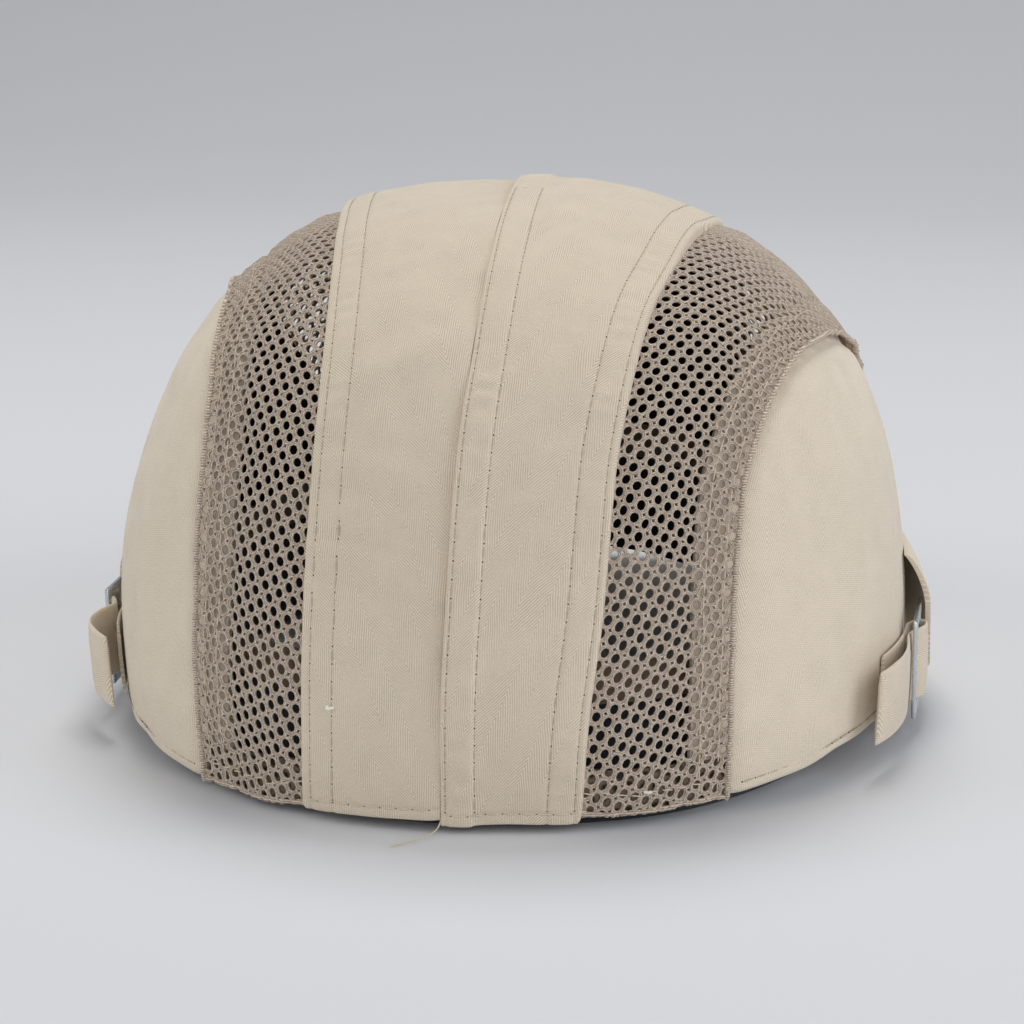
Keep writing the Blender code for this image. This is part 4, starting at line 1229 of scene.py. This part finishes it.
plate_steel = steel()
for side, word in ((1, "left"), (-1, "right")):
    strap_twill = herringbone("cotton_twill_adjuster_" + word, "e9dcc8", "b5a68f", 45.0)
    route = strap_path(*TAIL[side], STAND_OFF[side])
    strap = laid(
        "strap_" + word, double_sheet(240, 18), strap_place(side, route), (strap_twill,) * 2,
    )
    belongs(strap, "strap_twill", "strap_" + word)

    buckle = bmesh.new()
    bmesh.ops.create_grid(buckle, x_segments=5, y_segments=3, size=0.5)
    bmesh.ops.translate(buckle, verts=buckle.verts, vec=(0.5, 0.5, 0.0))
    along = np.cumsum((0.0, BUCKLE_BAR, BUCKLE_SLOT, BUCKLE_BAR, BUCKLE_SLOT, BUCKLE_BAR))
    inside = STRAP_WIDTH + 2 * BUCKLE_CLEARANCE
    upward = np.cumsum((0.0, BUCKLE_BAR, inside, BUCKLE_BAR)) - BUCKLE_BAR - inside / 2
    slots = []
    for face in buckle.faces:
        centre = face.calc_center_median()
        if 0.3 < centre.y < 0.7 and int(centre.x * 5) in (1, 3):
            slots.append(face)
    bmesh.ops.delete(buckle, geom=slots, context="FACES")
    for vertex in buckle.verts:
        vertex.co.x = along[round(vertex.co.x * 5)] / MM
        vertex.co.y = upward[round(vertex.co.y * 3)] / MM
    for vertex in second_skin(buckle):
        vertex.co.z = BUCKLE_WALL / MM
    bmesh.ops.recalc_face_normals(buckle, faces=buckle.faces)
    corners = [edge for edge in buckle.edges if edge.calc_face_angle(0) > 1.0]
    bmesh.ops.bevel(
        buckle, geom=corners, offset=0.32, offset_type="OFFSET", segments=3, profile=0.5,
        affect="EDGES", material=-1,
    )

    def buckle_place(across, upright, height, side=side, along=along, upward=upward):
        y, z = BUCKLE_PLACE - along, STRAP_HEIGHT + upward
        wrap = (BUCKLE_WALL + STRAP_WALL) / 2 + BUCKLE_CLEARANCE
        lift = STAND_OFF[side] - wrap + BUCKLE_LIFT
        ends = beside_crown(y[[0, -1], None], z[None, [0, -1]], lift, side)
        a = across * MM / along[-1]
        b = (upright * MM - upward[0]) / (upward[-1] - upward[0])
        rear = (1 - b) * ends[0, 0, 0] + b * ends[0, 1, 0]
        front = (1 - b) * ends[1, 0, 0] + b * ends[1, 1, 0]
        x = (1 - a) * rear + a * front + side * (height * MM - BUCKLE_WALL / 2)
        points = np.stack((x, BUCKLE_PLACE - across * MM, STRAP_HEIGHT + upright * MM), axis=-1)
        return points, np.stack((across, upright, height), axis=-1)

    plate = laid("buckle_" + word, buckle, buckle_place, (plate_steel,), sharp=30)
    belongs(plate, "buckle_steel", "buckle_" + word)

    flap = laid("tab_" + word, double_sheet(44, 34), tab_place(side), (strap_twill,) * 2)
    belongs(flap, "strap_twill", "tab_" + word)


# Loose ends
# A cream thread end left hanging at the foot of the centre seam, and two specks of white
# lint, one on the strip's left edge and one low on the right net.
def strand(name, slot, points, thickness, material):
    """A fine thread through a few points."""
    fibre = bpy.data.curves.new(name, "CURVE")
    fibre.dimensions = "3D"
    fibre.bevel_depth = thickness * MM / 2
    fibre.bevel_resolution = 2
    fibre.resolution_u = 10
    fibre.use_fill_caps = True
    line = fibre.splines.new("NURBS")
    line.points.add(len(points) - 1)
    line.use_endpoint_u = True
    line.order_u = 4
    for spot, point in zip(line.points, points):
        spot.co = (*point, 1.0)
    tube(name, slot, fibre, material)


foot = strip_point(np.array([0.0]), np.array([0.0012]), 0.0)[0] + CROWN_AXIS
strand("loose_thread", "twill", [
    foot + np.array(offset) * MM for offset in (
        (-0.2, -1.0, 0.6), (0.0, 0.3, -0.8), (0.7, 1.3, -1.6), (2.0, 3.0, -2.15),
        (4.2, 6.5, -1.9), (6.4, 9.0, -2.1), (8.4, 10.4, -2.2),
    )
], 0.32, pale_thread)
lint_fibre, shader = surface("white_lint", 0.9, Sheen_Weight=0.5)
connect(shader, {"Base Color": linear("f4f0e8")})
lint_spot, lint_over = strip_spot(1, np.array([24.0]), np.array([0.0245]))
upward = lint_over[0] - lint_spot[0]
strand("lint", "twill", [
    lint_spot[0] + CROWN_AXIS + upward * 0.25 + np.array(offset) * MM for offset in (
        (-0.9, 0.0, 0.1), (-0.3, 0.1, 0.4), (0.2, 0.2, -0.3), (0.8, 0.1, 0.3), (0.2, 0.2, 0.5),
    )
], 0.7, lint_fibre)
low_spot = onto_crown(np.array([[-0.041, 0.0884, 0.009]]), 0.0022)[0] + CROWN_AXIS
strand("lint_low", "net", [
    low_spot + np.array(offset) * MM for offset in (
        (-0.8, 0.3, 0.2), (-0.2, 0.5, -0.3), (0.3, 0.2, 0.1), (0.7, 0.0, -0.2),
    )
], 0.6, lint_fibre)


# Floor, backdrop and light
# A pale seamless paper sweep in a softly lit studio. The main light hangs over the peak, so
# that the shadow falls toward the camera; one on each side and a low one by the camera fill it.
SWEEP_ROWS, FLAT_ROWS, CURVE_ROWS = 40, 16, 12
SWEEP_WIDTH, FLOOR_EDGE, FLOOR_STEP, CURVE_RADIUS, WALL_STEP = 10.0, 4.0, 0.3, 1.0, 0.25

sweep = bmesh.new()
bmesh.ops.create_grid(sweep, x_segments=1, y_segments=SWEEP_ROWS, size=0.5)
for vertex in sweep.verts:
    row = (vertex.co.y + 0.5) * SWEEP_ROWS
    turn = min(max((row - FLAT_ROWS) / CURVE_ROWS, 0.0), 1.0) * math.pi / 2
    wall = max(row - FLAT_ROWS - CURVE_ROWS, 0) * WALL_STEP
    vertex.co = (
        vertex.co.x * SWEEP_WIDTH,
        FLOOR_EDGE - min(row, FLAT_ROWS) * FLOOR_STEP - CURVE_RADIUS * math.sin(turn),
        CURVE_RADIUS * (1 - math.cos(turn)) + wall,
    )
bmesh.ops.recalc_face_normals(sweep, faces=sweep.faces)
ground = bpy.data.meshes.new("paper_sweep")
sweep.to_mesh(ground)
sweep.free()
ground.shade_smooth()
placed("paper_sweep", ground)
paper, shader = surface("studio_paper", 0.95)
connect(shader, {"Base Color": linear("dcdee2"), "Specular IOR Level": 0.2})
ground.materials.append(paper)


def lamp(name, place, aim, size, power, colour):
    light = bpy.data.lights.new(name, "AREA")
    light.size = size
    light.energy = power
    light.color = linear(colour)[:3]
    body = placed(name, light)
    body.location = place
    body.rotation_mode = "QUATERNION"
    body.rotation_quaternion = (Vector(place) - Vector(aim)).to_track_quat("Z", "Y")


lamp("top_light", (0.05, -0.45, 1.25), (0.0, 0.5, 0.0), 0.65, 8.6, "fffdf9")
lamp("right_light", (-1.3, 0.3, 0.6), CAMERA_TARGET, 1.1, 8.0, "fdfdff")
lamp("left_light", (1.35, 0.4, 0.6), CAMERA_TARGET, 1.1, 6.8, "fffdfa")
lamp("low_light", (-0.35, 1.6, 0.5), CAMERA_TARGET, 1.2, 7.5, "fdfdff")
world = bpy.data.worlds.new("studio")
world.use_nodes = True
connect(world.node_tree.nodes["Background"], {"Color": linear("f2f4f8"), "Strength": 0.28})
bpy.context.scene.world = world
